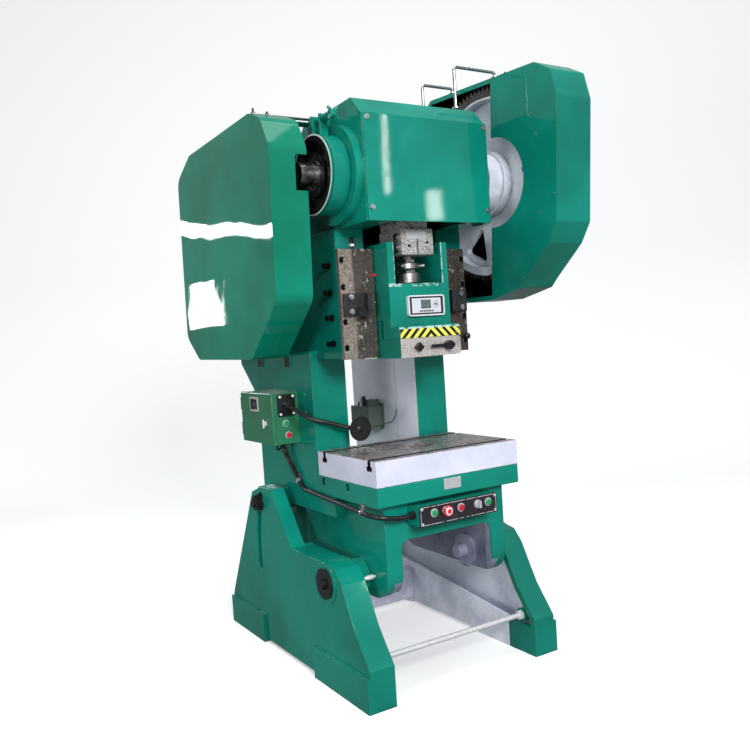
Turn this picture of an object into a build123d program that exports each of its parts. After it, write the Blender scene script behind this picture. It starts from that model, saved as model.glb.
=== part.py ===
from build123d import *
import math
import os

# Sizes are in millimetres. X runs across the machine, Y to its rear, Z up from the floor.
# While the pieces are made, X = 0 and Y = 0 lie on the slide axis.

# Frame casting
frame_width = 630.0
column_gap = 330.0
throat_depth = 225.0
column_depth = 520.0
column_wall = 32.0
column_flange = 60.0
column_top = 1215.0
throat_roof = 1182.0
guide_width = 566.0
guide_plate = 30.0
guide_flange = 17.0
head_width = 536.0
head_front = 190.0
head_bottom = 1650.0
head_corner = 2016.0
head_top = 2089.0
head_slope = 66.0
head_fall = 19.0
head_flat_end = 240.0
head_rear = 520.0
head_shoulder = 1790.0
head_wall = 30.0
cover_thick = 8.0
side_pad_front = 100.0
side_pad_bottom = 592.0

# Bed and the lower part of the frame
table_height = 832.0
bolster_thick = 92.0
bolster_depth = 420.0
bolster_front = 205.0
bolster_hole = 120.0
slot_spacing = 324.0
slot_neck = 22.0
slot_depth = 38.0
bed_flange = 72.0
bed_plate = 50.0
bed_opening_width = 240.0
bed_opening_depth = 180.0
lower_width = 536.0
lower_front = 162.0
lower_wall = 36.0
lower_corner = 92.0
lower_bottom = 322.0
lower_rise = 148.0
arch_width = 404.0
arch_top = 531.0
arch_radius = 30.0

# Legs and the tilting pivot
leg_outer = 415.0
leg_gap = 2.0
leg_upper_inner = 355.0
leg_plate = 22.0
leg_rim = 24.0
leg_front = 250.0
leg_rear = 950.0
leg_toe = 143.0
leg_saddle = 456.0
leg_top = 664.0
leg_relief = 15.0
foot_reach = 12.0
foot_height = 118.0
foot_plate = 30.0
front_foot_length = 394.0
rear_foot_length = 350.0
pivot_y = 24.0
pivot_z = 383.0
pivot_diameter = 50.0
pivot_boss = 75.0
lock_radius = 590.0
lock_angle = 21.5
lock_diameter = 36.0
tilt_travel = 20.0
slot_width = 42.0
slot_extra = 2.4
slot_tail = 4.0
slot_pad = 24.0
anchor_diameter = 28.0
anchor_x = 366.0
anchor_front = -150.0
anchor_rear = 820.0
tie_rod_diameter = 20.0
tie_rod_y = -175.0
tie_rod_z = 146.0
cross_beam_y = 560.0
cross_beam_depth = 62.0
cross_beam_bottom = 34.0
cross_beam_height = 138.0
cross_beam_wall = 12.0
cross_beam_end = 14.0
rail_thick = 12.0
rail_front_top = 106.0
rail_rear_top = 236.0
rail_rear = 880.0
tie_boss_radius = 26.0
tie_rod_end = 16.0

# Crank drive
crank_z = 1833.0
stroke = 100.0
journal_diameter = 110.0
cheek_thick = 34.0
cheek_margin = 22.0
rod_width = 130.0
bush_wall = 16.0
left_boss_radius = 175.0
left_boss_length = 28.0
right_boss_radius = 118.0
right_boss_length = 30.0
running_fit = 0.08
side_play = 0.6

# Brake on the left end of the crankshaft
drum_radius = 132.0
drum_width = 72.0
drum_flange_radius = 140.0
drum_flange = 8.0
lining_thick = 4.0
band_thick = 3.5
crank_left_end = 432.0
crank_end_diameter = 80.0

# Bull gear, pinion and countershaft
gear_module = 8.0
bull_teeth = 93
pinion_teeth = 18
gear_backlash = 1.6
gear_face = 100.0
gear_inner = 400.0
gear_web = 26.0
gear_rim = 34.0
gear_hub_radius = 128.0
gear_hub_inner = 334.0
gear_arms = 6
gear_arm_width = 170.0
countershaft_drop = 193.0
countershaft_diameter = 70.0
shaft_bush_wall = 12.0
collar_width = 30.0

# Flywheel, motor and belts
flywheel_diameter = 680.0
flywheel_width = 92.0
flywheel_inner = 438.0
motor_y = 836.0
motor_z = 1350.0
motor_pulley_diameter = 140.0
motor_radius = 104.0
motor_length = 290.0
motor_inner = 372.0
motor_shaft_diameter = 38.0
belt_count = 3
belt_pitch = 25.0
belt_width = 17.0
belt_depth = 11.0
groove_play = 0.5

# Guards
guard_reach = 552.0
guard_sheet = 3.0
guard_corner = 60.0
belt_guard_inner = 409.0
belt_guard_front = 41.0
belt_guard_rear = 921.0
belt_guard_top = 2060.0
belt_guard_bottom = 1200.0
notch_height = 122.0
notch_depth = 46.0
gear_guard_inner = 382.0
gear_guard_front = 442.0
gear_guard_rear = 520.0
gear_guard_bottom = 1369.0
gear_guard_peak = 2243.0
guard_bar_diameter = 12.0

# Slide, gibs and connecting rod
slide_width = 268.0
slide_front = 83.0
slide_rear = 150.0
slide_bottom = 1172.0
slide_shelf = 1441.0
slide_top = 1591.0
nose_front = 135.0
nose_top = 1285.0
clamp_height = 69.0
arm_width = 30.0
ridge_y = 65.0
ridge_height = 36.0
gib_front = 10.0
gib_top = 1578.0
gib_play = 5.0
gib_tongue = 30.0
gib_recess = 10.0
guide_fit = 0.25
shank_diameter = 50.0
shank_depth = 70.0
ball_z = 1385.0
ball_radius = 40.0
screw_diameter = 56.0
rod_end_bottom = 1546.0
rod_end_height = 94.0
rod_end_front = 85.0
rod_eye_radius = 88.0

# Electrical pieces
cabinet_reach = 417.0
cabinet_front = 355.0
cabinet_length = 307.0
cabinet_bottom = 856.0
cabinet_height = 201.0
cabinet_wall = 4.0
door_thick = 14.0
control_length = 340.0
control_front = 240.0
control_bottom = 588.0
control_height = 68.0
panel_thick = 4.0
conduit_diameter = 18.0
button_radius = 15.0

# Values worked out from the sizes above
half = frame_width / 2
gap_half = column_gap / 2
guide_half = guide_width / 2
head_half = head_width / 2
lower_half = lower_width / 2
slide_half = slide_width / 2
column_rear = throat_depth + column_depth
bed_top = table_height - bolster_thick
flange_bottom = bed_top - bed_flange
leg_inner = half + leg_gap
crank_throw = stroke / 2
pin_z = crank_z + crank_throw
bull_radius = gear_module * bull_teeth / 2
pinion_radius = gear_module * pinion_teeth / 2
centre_distance = bull_radius + pinion_radius
mesh_angle = -math.asin(countershaft_drop / centre_distance)
countershaft_y = centre_distance * math.cos(mesh_angle)
countershaft_z = crank_z - countershaft_drop
gear_outer = gear_inner + gear_face
cheek_inner = rod_width / 2 + side_play
cheek_outer = cheek_inner + cheek_thick
journal_radius = journal_diameter / 2
bush_radius = journal_radius + bush_wall
shaft_radius = countershaft_diameter / 2
shaft_bush_radius = shaft_radius + shaft_bush_wall
drum_right = head_half + left_boss_length + 4.0
drum_left = drum_right + drum_width
lock_y = pivot_y + lock_radius * math.cos(math.radians(lock_angle))
lock_z = pivot_z + lock_radius * math.sin(math.radians(lock_angle))
clamp_top = slide_bottom + clamp_height
cabinet_rear = cabinet_front + cabinet_length
cabinet_top = cabinet_bottom + cabinet_height
control_top = control_bottom + control_height
head_face = -head_front + cover_thick

pieces = {}


def keep(builder, name):
    """Label a finished piece and file it under its name."""
    builder.part.label = name
    pieces[name] = builder.part


def prism(points, plane, length, mode=Mode.ADD, radius=0.0, inset=0.0):
    """A prism from the corners of its outline, with rounded corners and an inset on request."""
    with BuildSketch(plane) as face:
        with BuildLine():
            Polyline(*points, close=True)
        make_face()
        if radius:
            fillet(face.vertices(), radius)
        if inset:
            offset(amount=-inset)
    extrude(face.sketch, amount=length, mode=mode)


def prism_x(points, x_from, x_to, mode=Mode.ADD, radius=0.0, inset=0.0):
    """A prism with a (Y, Z) outline between two X values."""
    prism(points, Plane.YZ.offset(min(x_from, x_to)), abs(x_to - x_from), mode, radius, inset)


def prism_y(points, y_from, y_to, mode=Mode.ADD, radius=0.0):
    """A prism with an (X, Z) outline between two Y values."""
    prism(points, Plane.XZ.offset(-max(y_from, y_to)), abs(y_to - y_from), mode, radius)


def prism_z(points, z_from, z_to, mode=Mode.ADD, radius=0.0):
    """A prism with an (X, Y) outline between two Z values."""
    prism(points, Plane.XY.offset(min(z_from, z_to)), abs(z_to - z_from), mode, radius)


def block(x_span, y_span, z_span, mode=Mode.ADD):
    """A box between pairs of X, Y and Z values, each pair in any order."""
    spans = (x_span, y_span, z_span)
    centre = tuple((low + high) / 2 for low, high in spans)
    with Locations(centre):
        Box(*[abs(high - low) for low, high in spans], mode=mode)


def bar(start, direction, radius, length, mode=Mode.ADD, sides=0):
    """A round or many-sided bar that starts at a point and follows a direction."""
    with BuildSketch(Plane(origin=start, z_dir=direction)) as face:
        if sides:
            RegularPolygon(radius, sides)
        else:
            Circle(radius)
    extrude(face.sketch, amount=length, mode=mode)


def bar_x(y, z, radius, x_from, x_to, mode=Mode.ADD):
    """A round bar along X."""
    bar((min(x_from, x_to), y, z), (1, 0, 0), radius, abs(x_to - x_from), mode)


def bar_y(x, z, radius, y_from, y_to, mode=Mode.ADD):
    """A round bar along Y."""
    bar((x, min(y_from, y_to), z), (0, 1, 0), radius, abs(y_to - y_from), mode)


def bar_z(x, y, radius, z_from, z_to, mode=Mode.ADD):
    """A round bar along Z."""
    bar((x, y, min(z_from, z_to)), (0, 0, 1), radius, abs(z_to - z_from), mode)


def fastener(seat, outward, across, head, shank, length, sides=6):
    """A bolt or screw whose head stands on a seat, with its shank going inward."""
    reach = across / math.sqrt(3) if sides else across / 2
    inward = tuple(-value for value in outward)
    bar(seat, outward, reach, head, sides=sides)
    bar(seat, inward, shank / 2, length)


def hole(seat, outward, shank, length, play=0.1):
    """The hole for a fastener's shank."""
    inward = tuple(-value for value in outward)
    bar(seat, inward, shank / 2 + play, length + 1, Mode.SUBTRACT)


def hull_x(circles, x_from, x_to, mode=Mode.ADD):
    """A plate inside a tight loop round (Y, Z, radius) circles, between two X values."""
    with BuildSketch(Plane.YZ.offset(min(x_from, x_to))) as face:
        for y, z, radius in circles:
            with Locations((y, z)):
                Circle(radius)
        make_hull()
    extrude(face.sketch, amount=abs(x_to - x_from), mode=mode)


def gear_points(centre, teeth, first_angle):
    """Involute outline of a spur gear of the drive, as (Y, Z) corners."""
    pitch = gear_module * teeth / 2
    base = pitch * math.cos(math.radians(20))
    tip = pitch + gear_module
    root = pitch - 1.25 * gear_module
    start = max(base, root)
    pitch_half = math.pi / (2 * teeth) - gear_backlash / (4 * pitch)
    involute_pitch = math.tan(math.radians(20)) - math.radians(20)
    flank = []
    for step in range(4):
        radius = start + (tip - start) * step / 3
        angle = math.acos(base / radius)
        flank.append((radius, pitch_half + involute_pitch - (math.tan(angle) - angle)))
    if root < base:
        flank.insert(0, (root, flank[0][1]))
    points = []
    for tooth in range(teeth):
        middle = first_angle + 2 * math.pi * tooth / teeth
        sides = [(radius, middle - spread) for radius, spread in flank]
        sides += [(radius, middle + spread) for radius, spread in reversed(flank)]
        for radius, angle in sides:
            points.append((centre[0] + radius * math.cos(angle), centre[1] + radius * math.sin(angle)))
    return points


# Where the fasteners of the frame sit
cover_screws = [(side * (head_half - 16), z) for side in (-1, 1) for z in (head_bottom + 45, head_corner - 18)]
gib_bolts = [(side * (guide_half - 13), z) for side in (-1, 1)
             for z in (throat_roof + 38, throat_roof + 132, gib_top - 138, gib_top - 40)]
gib_adjusters = [(side, z) for side in (-1, 1) for z in (1238.0, 1333.0, 1425.0, 1524.0)]
adjuster_y = ridge_y + gib_tongue / 2
bolster_studs = [(side * (half - 27), y) for side in (-1, 1) for y in (0.0, 184.0)]
belt_guard_feet = [(170.0, belt_guard_top - 34), (420.0, belt_guard_bottom - 28), (690.0, belt_guard_bottom - 28)]
guard_bars = [(-98.0, 205.0), (170.0, 250.0)]

# Frame casting
column_side = [
    (-bolster_front, flange_bottom),
    (-bolster_front, bed_top),
    (throat_depth, bed_top),
    (throat_depth, column_top),
    (column_rear, column_top - 25),
    (column_rear, side_pad_bottom),
    (side_pad_front, side_pad_bottom),
    (side_pad_front, flange_bottom),
]
guide_side = [
    (gib_front + guide_flange, throat_roof),
    (gib_front + guide_flange, head_bottom + 1),
    (head_rear, head_bottom + 1),
    (column_rear, column_top - 25),
    (throat_depth, throat_roof),
]
head_side = [
    (head_face, head_bottom),
    (head_face, head_corner - 3),
    (-head_front + head_slope + 6, head_top - 9),
    (head_flat_end, head_top - head_fall),
    (head_rear, head_shoulder),
    (head_rear, head_bottom),
]
lower_side = [
    (-lower_front, bed_top - 5),
    (-lower_front, lower_bottom),
    (pivot_y + 396, lower_bottom),
    (column_rear, lower_bottom + lower_rise),
    (column_rear, bed_top - 5),
]
hollow_side = [
    (-lower_front + lower_wall, lower_bottom - 50),
    (-lower_front + lower_wall, bed_top - bed_plate),
    (column_rear - 40, bed_top - bed_plate),
    (column_rear - 40, side_pad_bottom + 40),
    (column_rear + 60, side_pad_bottom),
    (column_rear + 60, lower_bottom - 50),
]
cavity_side = [
    (-head_front - 10, head_bottom - 200),
    (-head_front - 10, head_corner - head_wall),
    (-head_front + head_slope, head_top - head_wall - 12),
    (head_flat_end, head_top - head_fall - head_wall),
    (head_rear - head_wall, head_shoulder - 18),
    (head_rear - head_wall, head_bottom - 100),
    (column_rear + 10, head_bottom - 100),
    (column_rear + 10, head_bottom - 200),
]
flank = guide_fit * math.sqrt(2)
with BuildPart() as frame_casting:
    prism_x(column_side, -half, half, radius=6)
    prism_x(guide_side, -guide_half, guide_half)
    prism_x(head_side, -head_half, head_half)
    with BuildSketch(Plane.YZ.offset(-lower_half)) as lower_body:
        with BuildLine():
            Polyline(*lower_side, close=True)
        make_face()
        fillet(lower_body.vertices().sort_by(Axis((0, 0, 0), (1, 1, 0)))[:1], lower_corner)
    extrude(amount=lower_width)
    # The gap between the columns and the cavity of the head
    block((-gap_half, gap_half), (gib_front - 60, column_rear + 10), (bed_top, head_bottom - 150), Mode.SUBTRACT)
    prism_x(cavity_side, -gap_half, gap_half, Mode.SUBTRACT)
    # Hollow of the lower body, open below and behind, with the work opening above it
    prism_x(hollow_side, -lower_half + lower_wall, lower_half - lower_wall, Mode.SUBTRACT)
    block((-bed_opening_width / 2, bed_opening_width / 2), (-bed_opening_depth / 2, bed_opening_depth / 2),
          (bed_top - bed_plate - 5, bed_top + 5), Mode.SUBTRACT)
    # Arch in the front wall
    with BuildSketch(Plane.XZ.offset(lower_front - lower_wall - 5)) as arch:
        with BuildLine():
            Polyline((-arch_width / 2, lower_bottom - 50), (-arch_width / 2, arch_top), (arch_width / 2, arch_top),
                     (arch_width / 2, lower_bottom - 50), close=True)
        make_face()
        fillet(arch.vertices().group_by(Axis.Y)[-1], arch_radius)
    extrude(amount=lower_wall + 10, mode=Mode.SUBTRACT)
    for side in (-1, 1):
        # Core windows in the backs of the columns and of the guide zone
        block((side * (gap_half + column_wall), side * (half - column_wall)),
              (throat_depth + column_flange, column_rear + 10), (bed_top + 30, throat_roof - 40), Mode.SUBTRACT)
        block((side * (gap_half - 5), side * (guide_half - 45)), (throat_depth, throat_depth + 200),
              (throat_roof + 60, head_bottom - 110), Mode.SUBTRACT)
        # Seat of the gib, with a deeper groove for its tongue, and the rear half of the guide groove
        block((side * (gap_half - 40), side * (guide_half - guide_plate)), (gib_front + 10, ridge_y),
              (throat_roof - 5, gib_top + 1), Mode.SUBTRACT)
        block((side * (gap_half + 35), side * (guide_half - guide_plate)), (ridge_y - 5, ridge_y + gib_tongue),
              (throat_roof - 5, gib_top + 1), Mode.SUBTRACT)
        block((side * (gap_half - 5), side * (gap_half + 9)), (ridge_y - 1, ridge_y + ridge_height),
              (throat_roof - 5, gib_top + 1), Mode.SUBTRACT)
        rail = [
            (side * (slide_half + gib_play), ridge_y + ridge_height - gib_play + flank),
            (side * (slide_half + ridge_height + flank), ridge_y),
            (side * (gap_half + 10), ridge_y),
            (side * (gap_half + 10), slide_rear + 15),
            (side * (slide_half + gib_play), slide_rear + 15),
        ]
        prism_z(rail, throat_roof, gib_top + 1)
        # Bosses for the crank journals, outside and inside the head walls
        boss_radius, boss_length = (left_boss_radius, left_boss_length)
        if side > 0:
            boss_radius, boss_length = (right_boss_radius, right_boss_length)
        bar_x(0, crank_z, boss_radius, side * (head_half - 5), side * (head_half + boss_length))
        bar_x(0, crank_z, bush_radius + 22, side * (cheek_outer + 3), side * (gap_half + 5))
        # Bosses for the countershaft, the pivot and the lock bolts
        bar_x(countershaft_y, countershaft_z, shaft_bush_radius + 22, side * (gap_half - 20), side * (head_half + 22))
        bar_x(pivot_y, pivot_z, pivot_boss - 10, side * (lower_half - lower_wall - 20), side * (leg_inner - 0.5))
        bar_x(lock_y, lock_z, 44, side * (lower_half - lower_wall), side * (leg_upper_inner - 1))
    # Pin of the clutch lever, with a head that keeps the lever on
    bar_x(175, 1775, 10, head_half - 5, gear_hub_inner - 6)
    bar_x(175, 1775, 15, gear_hub_inner - 9.5, gear_hub_inner - 4)
    bar_x(175, 1775, 17, head_half - 5, gear_hub_inner - 22.5)
    bar_x(0, crank_z, bush_radius, -half, half, Mode.SUBTRACT)
    bar_x(countershaft_y, countershaft_z, shaft_bush_radius, -half, half, Mode.SUBTRACT)
    for side in (-1, 1):
        hole((side * (leg_inner - 0.5), pivot_y, pivot_z), (side, 0, 0), pivot_diameter, 150, running_fit)
        hole((side * (leg_upper_inner - 1), lock_y, lock_z), (side, 0, 0), lock_diameter, 125)
    for x, z in cover_screws:
        hole((x, head_face, z), (0, -1, 0), 10, 25)
    for x, z in gib_bolts:
        hole((x, gib_front + guide_flange, z), (0, -1, 0), 14, 40)
    for side, z in gib_adjusters:
        hole((side * guide_half, adjuster_y, z), (side, 0, 0), 14, guide_plate)
    # Pockets in the sides of the bed for the nuts of the bolster studs
    for x, y in bolster_studs:
        edge = half if x > 0 else -half
        block((x - math.copysign(14, x), edge + math.copysign(5, x)), (y - 14, y + 14),
              (bed_top - 35, bed_top - 9), Mode.SUBTRACT)
        bar_z(x, y, 8.2, bed_top - 20, bed_top + 5, Mode.SUBTRACT)
keep(frame_casting, "frame_casting")

# Bushes of the crankshaft and of the countershaft
with BuildPart() as frame_bushes:
    for side in (-1, 1):
        outside = left_boss_length if side < 0 else right_boss_length
        bar_x(0, crank_z, bush_radius - 0.02, side * (cheek_outer + 3), side * (head_half + outside))
    bar_x(0, crank_z, journal_radius + running_fit, -half - 100, half + 100, Mode.SUBTRACT)
    for side in (-1, 1):
        bar_x(countershaft_y, countershaft_z, shaft_bush_radius - 0.02, side * (gap_half - 20),
              side * (head_half + 22))
    bar_x(countershaft_y, countershaft_z, shaft_radius + running_fit, -half - 50, half + 50, Mode.SUBTRACT)
keep(frame_bushes, "frame_bushes")

# Cover plate on the front of the head
with BuildPart() as head_cover:
    block((-head_half + 2, head_half - 2), (-head_front, head_face), (head_bottom, head_corner - 3))
    fillet(head_cover.edges().filter_by(Axis.Y), 5)
    for x, z in cover_screws:
        hole((x, -head_front, z), (0, -1, 0), 10, cover_thick)
keep(head_cover, "head_cover")

# Bolster with two T-slots and a centre hole
with BuildPart() as bolster:
    block((-half, half), (-bolster_front, -bolster_front + bolster_depth), (bed_top, table_height))
    chamfer(bolster.edges().group_by(Axis.Z)[-1], 1.5)
    for y in (-slot_spacing / 2, slot_spacing / 2):
        block((-half - 5, half + 5), (y - slot_neck / 2, y + slot_neck / 2),
              (table_height - slot_depth, table_height + 5), Mode.SUBTRACT)
        block((-half - 5, half + 5), (y - slot_neck * 0.85, y + slot_neck * 0.85),
              (table_height - slot_depth, table_height - slot_depth * 0.58), Mode.SUBTRACT)
    bar_z(0, 0, bolster_hole / 2, bed_top - 5, table_height + 5, Mode.SUBTRACT)
    for x, y in bolster_studs:
        bar_z(x, y, 8.2, bed_top - 5, bed_top + 25, Mode.SUBTRACT)
keep(bolster, "bolster")

# Gibs with the front half of the guide groove
gib_half = [
    (slide_half + gib_play, gib_front),
    (guide_half, gib_front),
    (guide_half, gib_front + guide_flange),
    (guide_half - guide_plate - 0.2, gib_front + guide_flange),
    (guide_half - guide_plate - 0.2, ridge_y + gib_tongue - 0.3),
    (gap_half + 35.2, ridge_y + gib_tongue - 0.3),
    (gap_half + 35.2, ridge_y),
    (slide_half + ridge_height + flank, ridge_y),
    (slide_half + gib_play, ridge_y - ridge_height + gib_play - flank),
]
stop_spots = [(250.0, 1350.0), (250.0, 1403.0)]
for side, name in ((-1, "left_gib"), (1, "right_gib")):
    with BuildPart() as gib:
        prism_z([(side * x, y) for x, y in gib_half], throat_roof - 4, gib_top)
        for x, z in gib_bolts:
            if x * side > 0:
                hole((x, gib_front, z), (0, -1, 0), 14, guide_flange)
                bar_y(x, z, 11.5, gib_front - 1, gib_front + gib_recess, Mode.SUBTRACT)
        for x, z in stop_spots:
            hole((side * x, gib_front, z), (0, -1, 0), 12, 30)
    keep(gib, name)

# Stop brackets on the gibs for the knock-out bar
with BuildPart() as stop_brackets:
    for side in (-1, 1):
        block((side * 183, side * 278), (gib_front - 12, gib_front), (1333, 1416))
        block((side * 183, side * 197), (gib_front - 46, gib_front), (1333, 1416))
        prism_x([(gib_front - 46, 1333), (gib_front - 10, 1333), (gib_front - 10, 1369)], side * 183, side * 232)
        for x, z in stop_spots:
            hole((side * x, gib_front - 12, z), (0, -1, 0), 12, 14)
keep(stop_brackets, "stop_brackets")

# Screws, bolts and nuts that hold pieces to the frame casting
with BuildPart() as frame_fasteners:
    for x, z in cover_screws:
        fastener((x, -head_front, z), (0, -1, 0), 17, 6.4, 10, cover_thick + 20)
    for x, y in bolster_studs:
        bar_z(x, y, 8, bed_top - 33, bed_top + 24)
        block((x - 12, x + 12), (y - 12, y + 12), (bed_top - 22, bed_top - 9))
    for x, z in gib_bolts:
        fastener((x, gib_front + gib_recess, z), (0, -1, 0), 21, 9, 14, guide_flange + 26, sides=0)
    for side, z in gib_adjusters:
        bar((side * (guide_half + 29), adjuster_y, z), (-side, 0, 0), 7, 29 + guide_plate)
        bar((side * guide_half, adjuster_y, z), (side, 0, 0), 22 / math.sqrt(3), 10, sides=6)
        bar((side * (guide_half + 20), adjuster_y, z), (side, 0, 0), 19 / math.sqrt(3), 9, sides=6)
    for side in (-1, 1):
        for x, z in stop_spots:
            fastener((side * x, gib_front - 12, z), (0, -1, 0), 19, 8, 12, 26)
keep(frame_fasteners, "frame_fasteners")

# Crankshaft with its two cheeks, the key of the brake drum, the clutch collar and the end washer
with BuildPart() as crankshaft:
    bar_x(0, pin_z, journal_radius, -cheek_inner - 1, cheek_inner + 1)
    for side in (-1, 1):
        hull_x([(0, crank_z, journal_radius + cheek_margin), (0, pin_z, journal_radius + 14)],
               side * cheek_inner, side * cheek_outer)
    bar_x(0, crank_z, journal_radius, -drum_left, -cheek_outer + 1)
    bar_x(0, crank_z, crank_end_diameter / 2, -crank_left_end, -drum_left + 1)
    bar_x(0, crank_z, journal_radius, cheek_outer - 1, gear_outer - 12)
    block((-drum_left + 4, -drum_right), (-14, 14), (crank_z + journal_radius - 11, crank_z + journal_radius + 6.5))
    bar_x(0, crank_z, 112, gear_hub_inner - 30, gear_hub_inner - 2)
    nose_angle = math.radians(-8)
    with Locations((gear_hub_inner - 16, 110 * math.cos(nose_angle), crank_z + 110 * math.sin(nose_angle))):
        Box(14, 20, 24, mode=Mode.SUBTRACT)
    # Half-round seat for the rotary key of the clutch, and the end washer that holds the bull gear
    bar_x(-journal_radius + 6, crank_z, 18, gear_hub_inner - 1, gear_outer - 12, Mode.SUBTRACT)
    bar_x(0, crank_z, journal_radius + 22, gear_outer - 12, gear_outer - 1)
    for y in (-26, 26):
        bar((gear_outer - 1, y, crank_z), (1, 0, 0), 11, 10, sides=6)
keep(crankshaft, "crankshaft")

# Rotary key of the clutch
with BuildPart() as clutch_key:
    bar_x(-journal_radius + 6, crank_z, 17.7, gear_hub_inner, gear_outer - 13)
    bar_x(0, crank_z, journal_radius - 0.3, gear_hub_inner, gear_outer - 13, Mode.INTERSECT)
keep(clutch_key, "clutch_key")

# Lever that stops the clutch, on a pin of the head
lever_reach = 112 + 0.8 + 8
with BuildPart() as clutch_lever:
    hull_x([(175, 1775, 22), (lever_reach * math.cos(nose_angle), crank_z + lever_reach * math.sin(nose_angle), 8)],
           gear_hub_inner - 22, gear_hub_inner - 10)
    hull_x([(175, 1775, 22), (262, 1742, 9)], gear_hub_inner - 22, gear_hub_inner - 10)
    bar_x(175, 1775, 10 + running_fit, gear_hub_inner - 30, gear_hub_inner, Mode.SUBTRACT)
keep(clutch_lever, "clutch_lever")

# Brake: drum on the crankshaft, lined band open at its top, and its spring bolt
with BuildPart() as brake_drum:
    bar_x(0, crank_z, drum_radius, -drum_left, -drum_right)
    bar_x(0, crank_z, drum_flange_radius, -drum_left, -drum_left + drum_flange)
    bar_x(0, crank_z, drum_radius - 16, -drum_left - 1, -drum_left + 22, Mode.SUBTRACT)
    bar_x(0, crank_z, 78, -drum_left + 4, -drum_left + 26)
    bar_x(0, crank_z, journal_radius + 0.05, -drum_left - 1, -drum_right + 1, Mode.SUBTRACT)
    block((-drum_left - 1, -drum_right + 1), (-14.1, 14.1),
          (crank_z + journal_radius - 10, crank_z + journal_radius + 7), Mode.SUBTRACT)
keep(brake_drum, "brake_drum")

band_inner = drum_radius + lining_thick + 0.6
band_outer = band_inner + band_thick
band_span = (-drum_left + drum_flange + 3, -drum_right + 2)
band_middle = sum(band_span) / 2
band_gap = 22.0
tension_z = 2027.0
with BuildPart() as brake_lining:
    bar_x(0, crank_z, band_inner, *band_span)
    bar_x(0, crank_z, drum_radius + 0.5, band_span[0] - 5, band_span[1] + 5, Mode.SUBTRACT)
    block((band_span[0] - 5, band_span[1] + 5), (-band_gap, band_gap), (crank_z, tension_z), Mode.SUBTRACT)
keep(brake_lining, "brake_lining")

with BuildPart() as brake_band:
    bar_x(0, crank_z, band_outer, *band_span)
    block((band_span[0] - 5, band_span[1] + 5), (-band_gap, band_gap), (crank_z, tension_z), Mode.SUBTRACT)
    for side in (-1, 1):
        block((band_middle - 16, band_middle + 16), (side * band_gap, side * (band_gap + 8)),
              (crank_z + drum_radius, tension_z + 16))
        bar_y(band_middle, tension_z, 7, side * (band_gap - 2), side * (band_gap + 10), Mode.SUBTRACT)
    bar_x(0, crank_z, band_inner, band_span[0] - 5, band_span[1] + 5, Mode.SUBTRACT)
keep(brake_band, "brake_band")

with BuildPart() as brake_tension:
    # Bracket behind the rear lug, on the side of the head
    block((band_middle - 18, -head_half), (band_gap + 8, band_gap + 16), (2010, tension_z + 20))
    block((-head_half - 8, -head_half), (band_gap + 8, band_gap + 70), (2010, tension_z + 20))
    bar_y(band_middle, tension_z, 6.5, band_gap + 7, band_gap + 17, Mode.SUBTRACT)
    # Bolt with an eye at its rear end, spring seats and nuts
    bar_y(band_middle, tension_z, 6, -98, 50)
    with BuildSketch(Plane(origin=(band_middle, 61, tension_z), z_dir=(1, 0, 0))) as eye:
        Circle(17)
        Circle(10, mode=Mode.SUBTRACT)
    extrude(eye.sketch, amount=5, both=True)
    bar((band_middle, -band_gap - 64, tension_z), (0, -1, 0), 15, 5)
    bar((band_middle, -band_gap - 69, tension_z), (0, -1, 0), 11, 9, sides=6)
    spring_line = Helix(pitch=9.6, height=52, radius=11, center=(band_middle, -band_gap - 10.6, tension_z),
                        direction=(0, -1, 0))
    with BuildSketch(Plane(origin=spring_line @ 0, z_dir=spring_line % 0)) as wire:
        Circle(2.2)
    sweep(wire.sketch, path=spring_line, is_frenet=True)
keep(brake_tension, "brake_tension")

# Bull gear with holes between its arms, and its bush
with BuildPart() as bull_gear:
    prism_x(gear_points((0, crank_z), bull_teeth, mesh_angle), gear_inner, gear_outer)
    root_radius = bull_radius - 1.25 * gear_module
    for x_from, x_to in ((gear_inner, gear_inner + (gear_face - gear_web) / 2),
                         (gear_outer - (gear_face - gear_web) / 2, gear_outer)):
        bar_x(0, crank_z, root_radius - gear_rim, x_from - 1, x_to + 1, Mode.SUBTRACT)
    bar_x(0, crank_z, gear_hub_radius, gear_inner - 1, gear_outer)
    bar_x(0, crank_z, gear_hub_radius - 10, gear_hub_inner, gear_outer)
    half_step = math.pi / gear_arms
    window_tip = gear_arm_width / 2 / math.sin(half_step)
    window_top = root_radius - gear_rim - 16
    spread = half_step - math.asin(gear_arm_width / 2 / window_top)
    for arm in range(gear_arms):
        middle = math.radians(113) + 2 * half_step * arm
        window = [(window_tip, middle), (window_top, middle + spread), (window_top, middle - spread)]
        prism_x([(radius * math.cos(angle), crank_z + radius * math.sin(angle)) for radius, angle in window],
                gear_inner - 1, gear_outer + 1, Mode.SUBTRACT, radius=14)
    bar_x(0, crank_z, journal_radius + 22.5, gear_outer - 12, gear_outer + 5, Mode.SUBTRACT)
    bar_x(0, crank_z, journal_radius + running_fit, gear_hub_inner - 5, gear_outer + 5, Mode.SUBTRACT)
keep(bull_gear, "bull_gear")

# Countershaft, its pinion, its collars and the flywheel
with BuildPart() as countershaft:
    bar_x(countershaft_y, countershaft_z, shaft_radius, -flywheel_inner - flywheel_width + 2, gear_outer + 2)
    for side in (-1, 1):
        bar_x(countershaft_y, countershaft_z, shaft_bush_radius + 6, side * (head_half + 24),
              side * (head_half + 24 + collar_width))
keep(countershaft, "countershaft")

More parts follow.
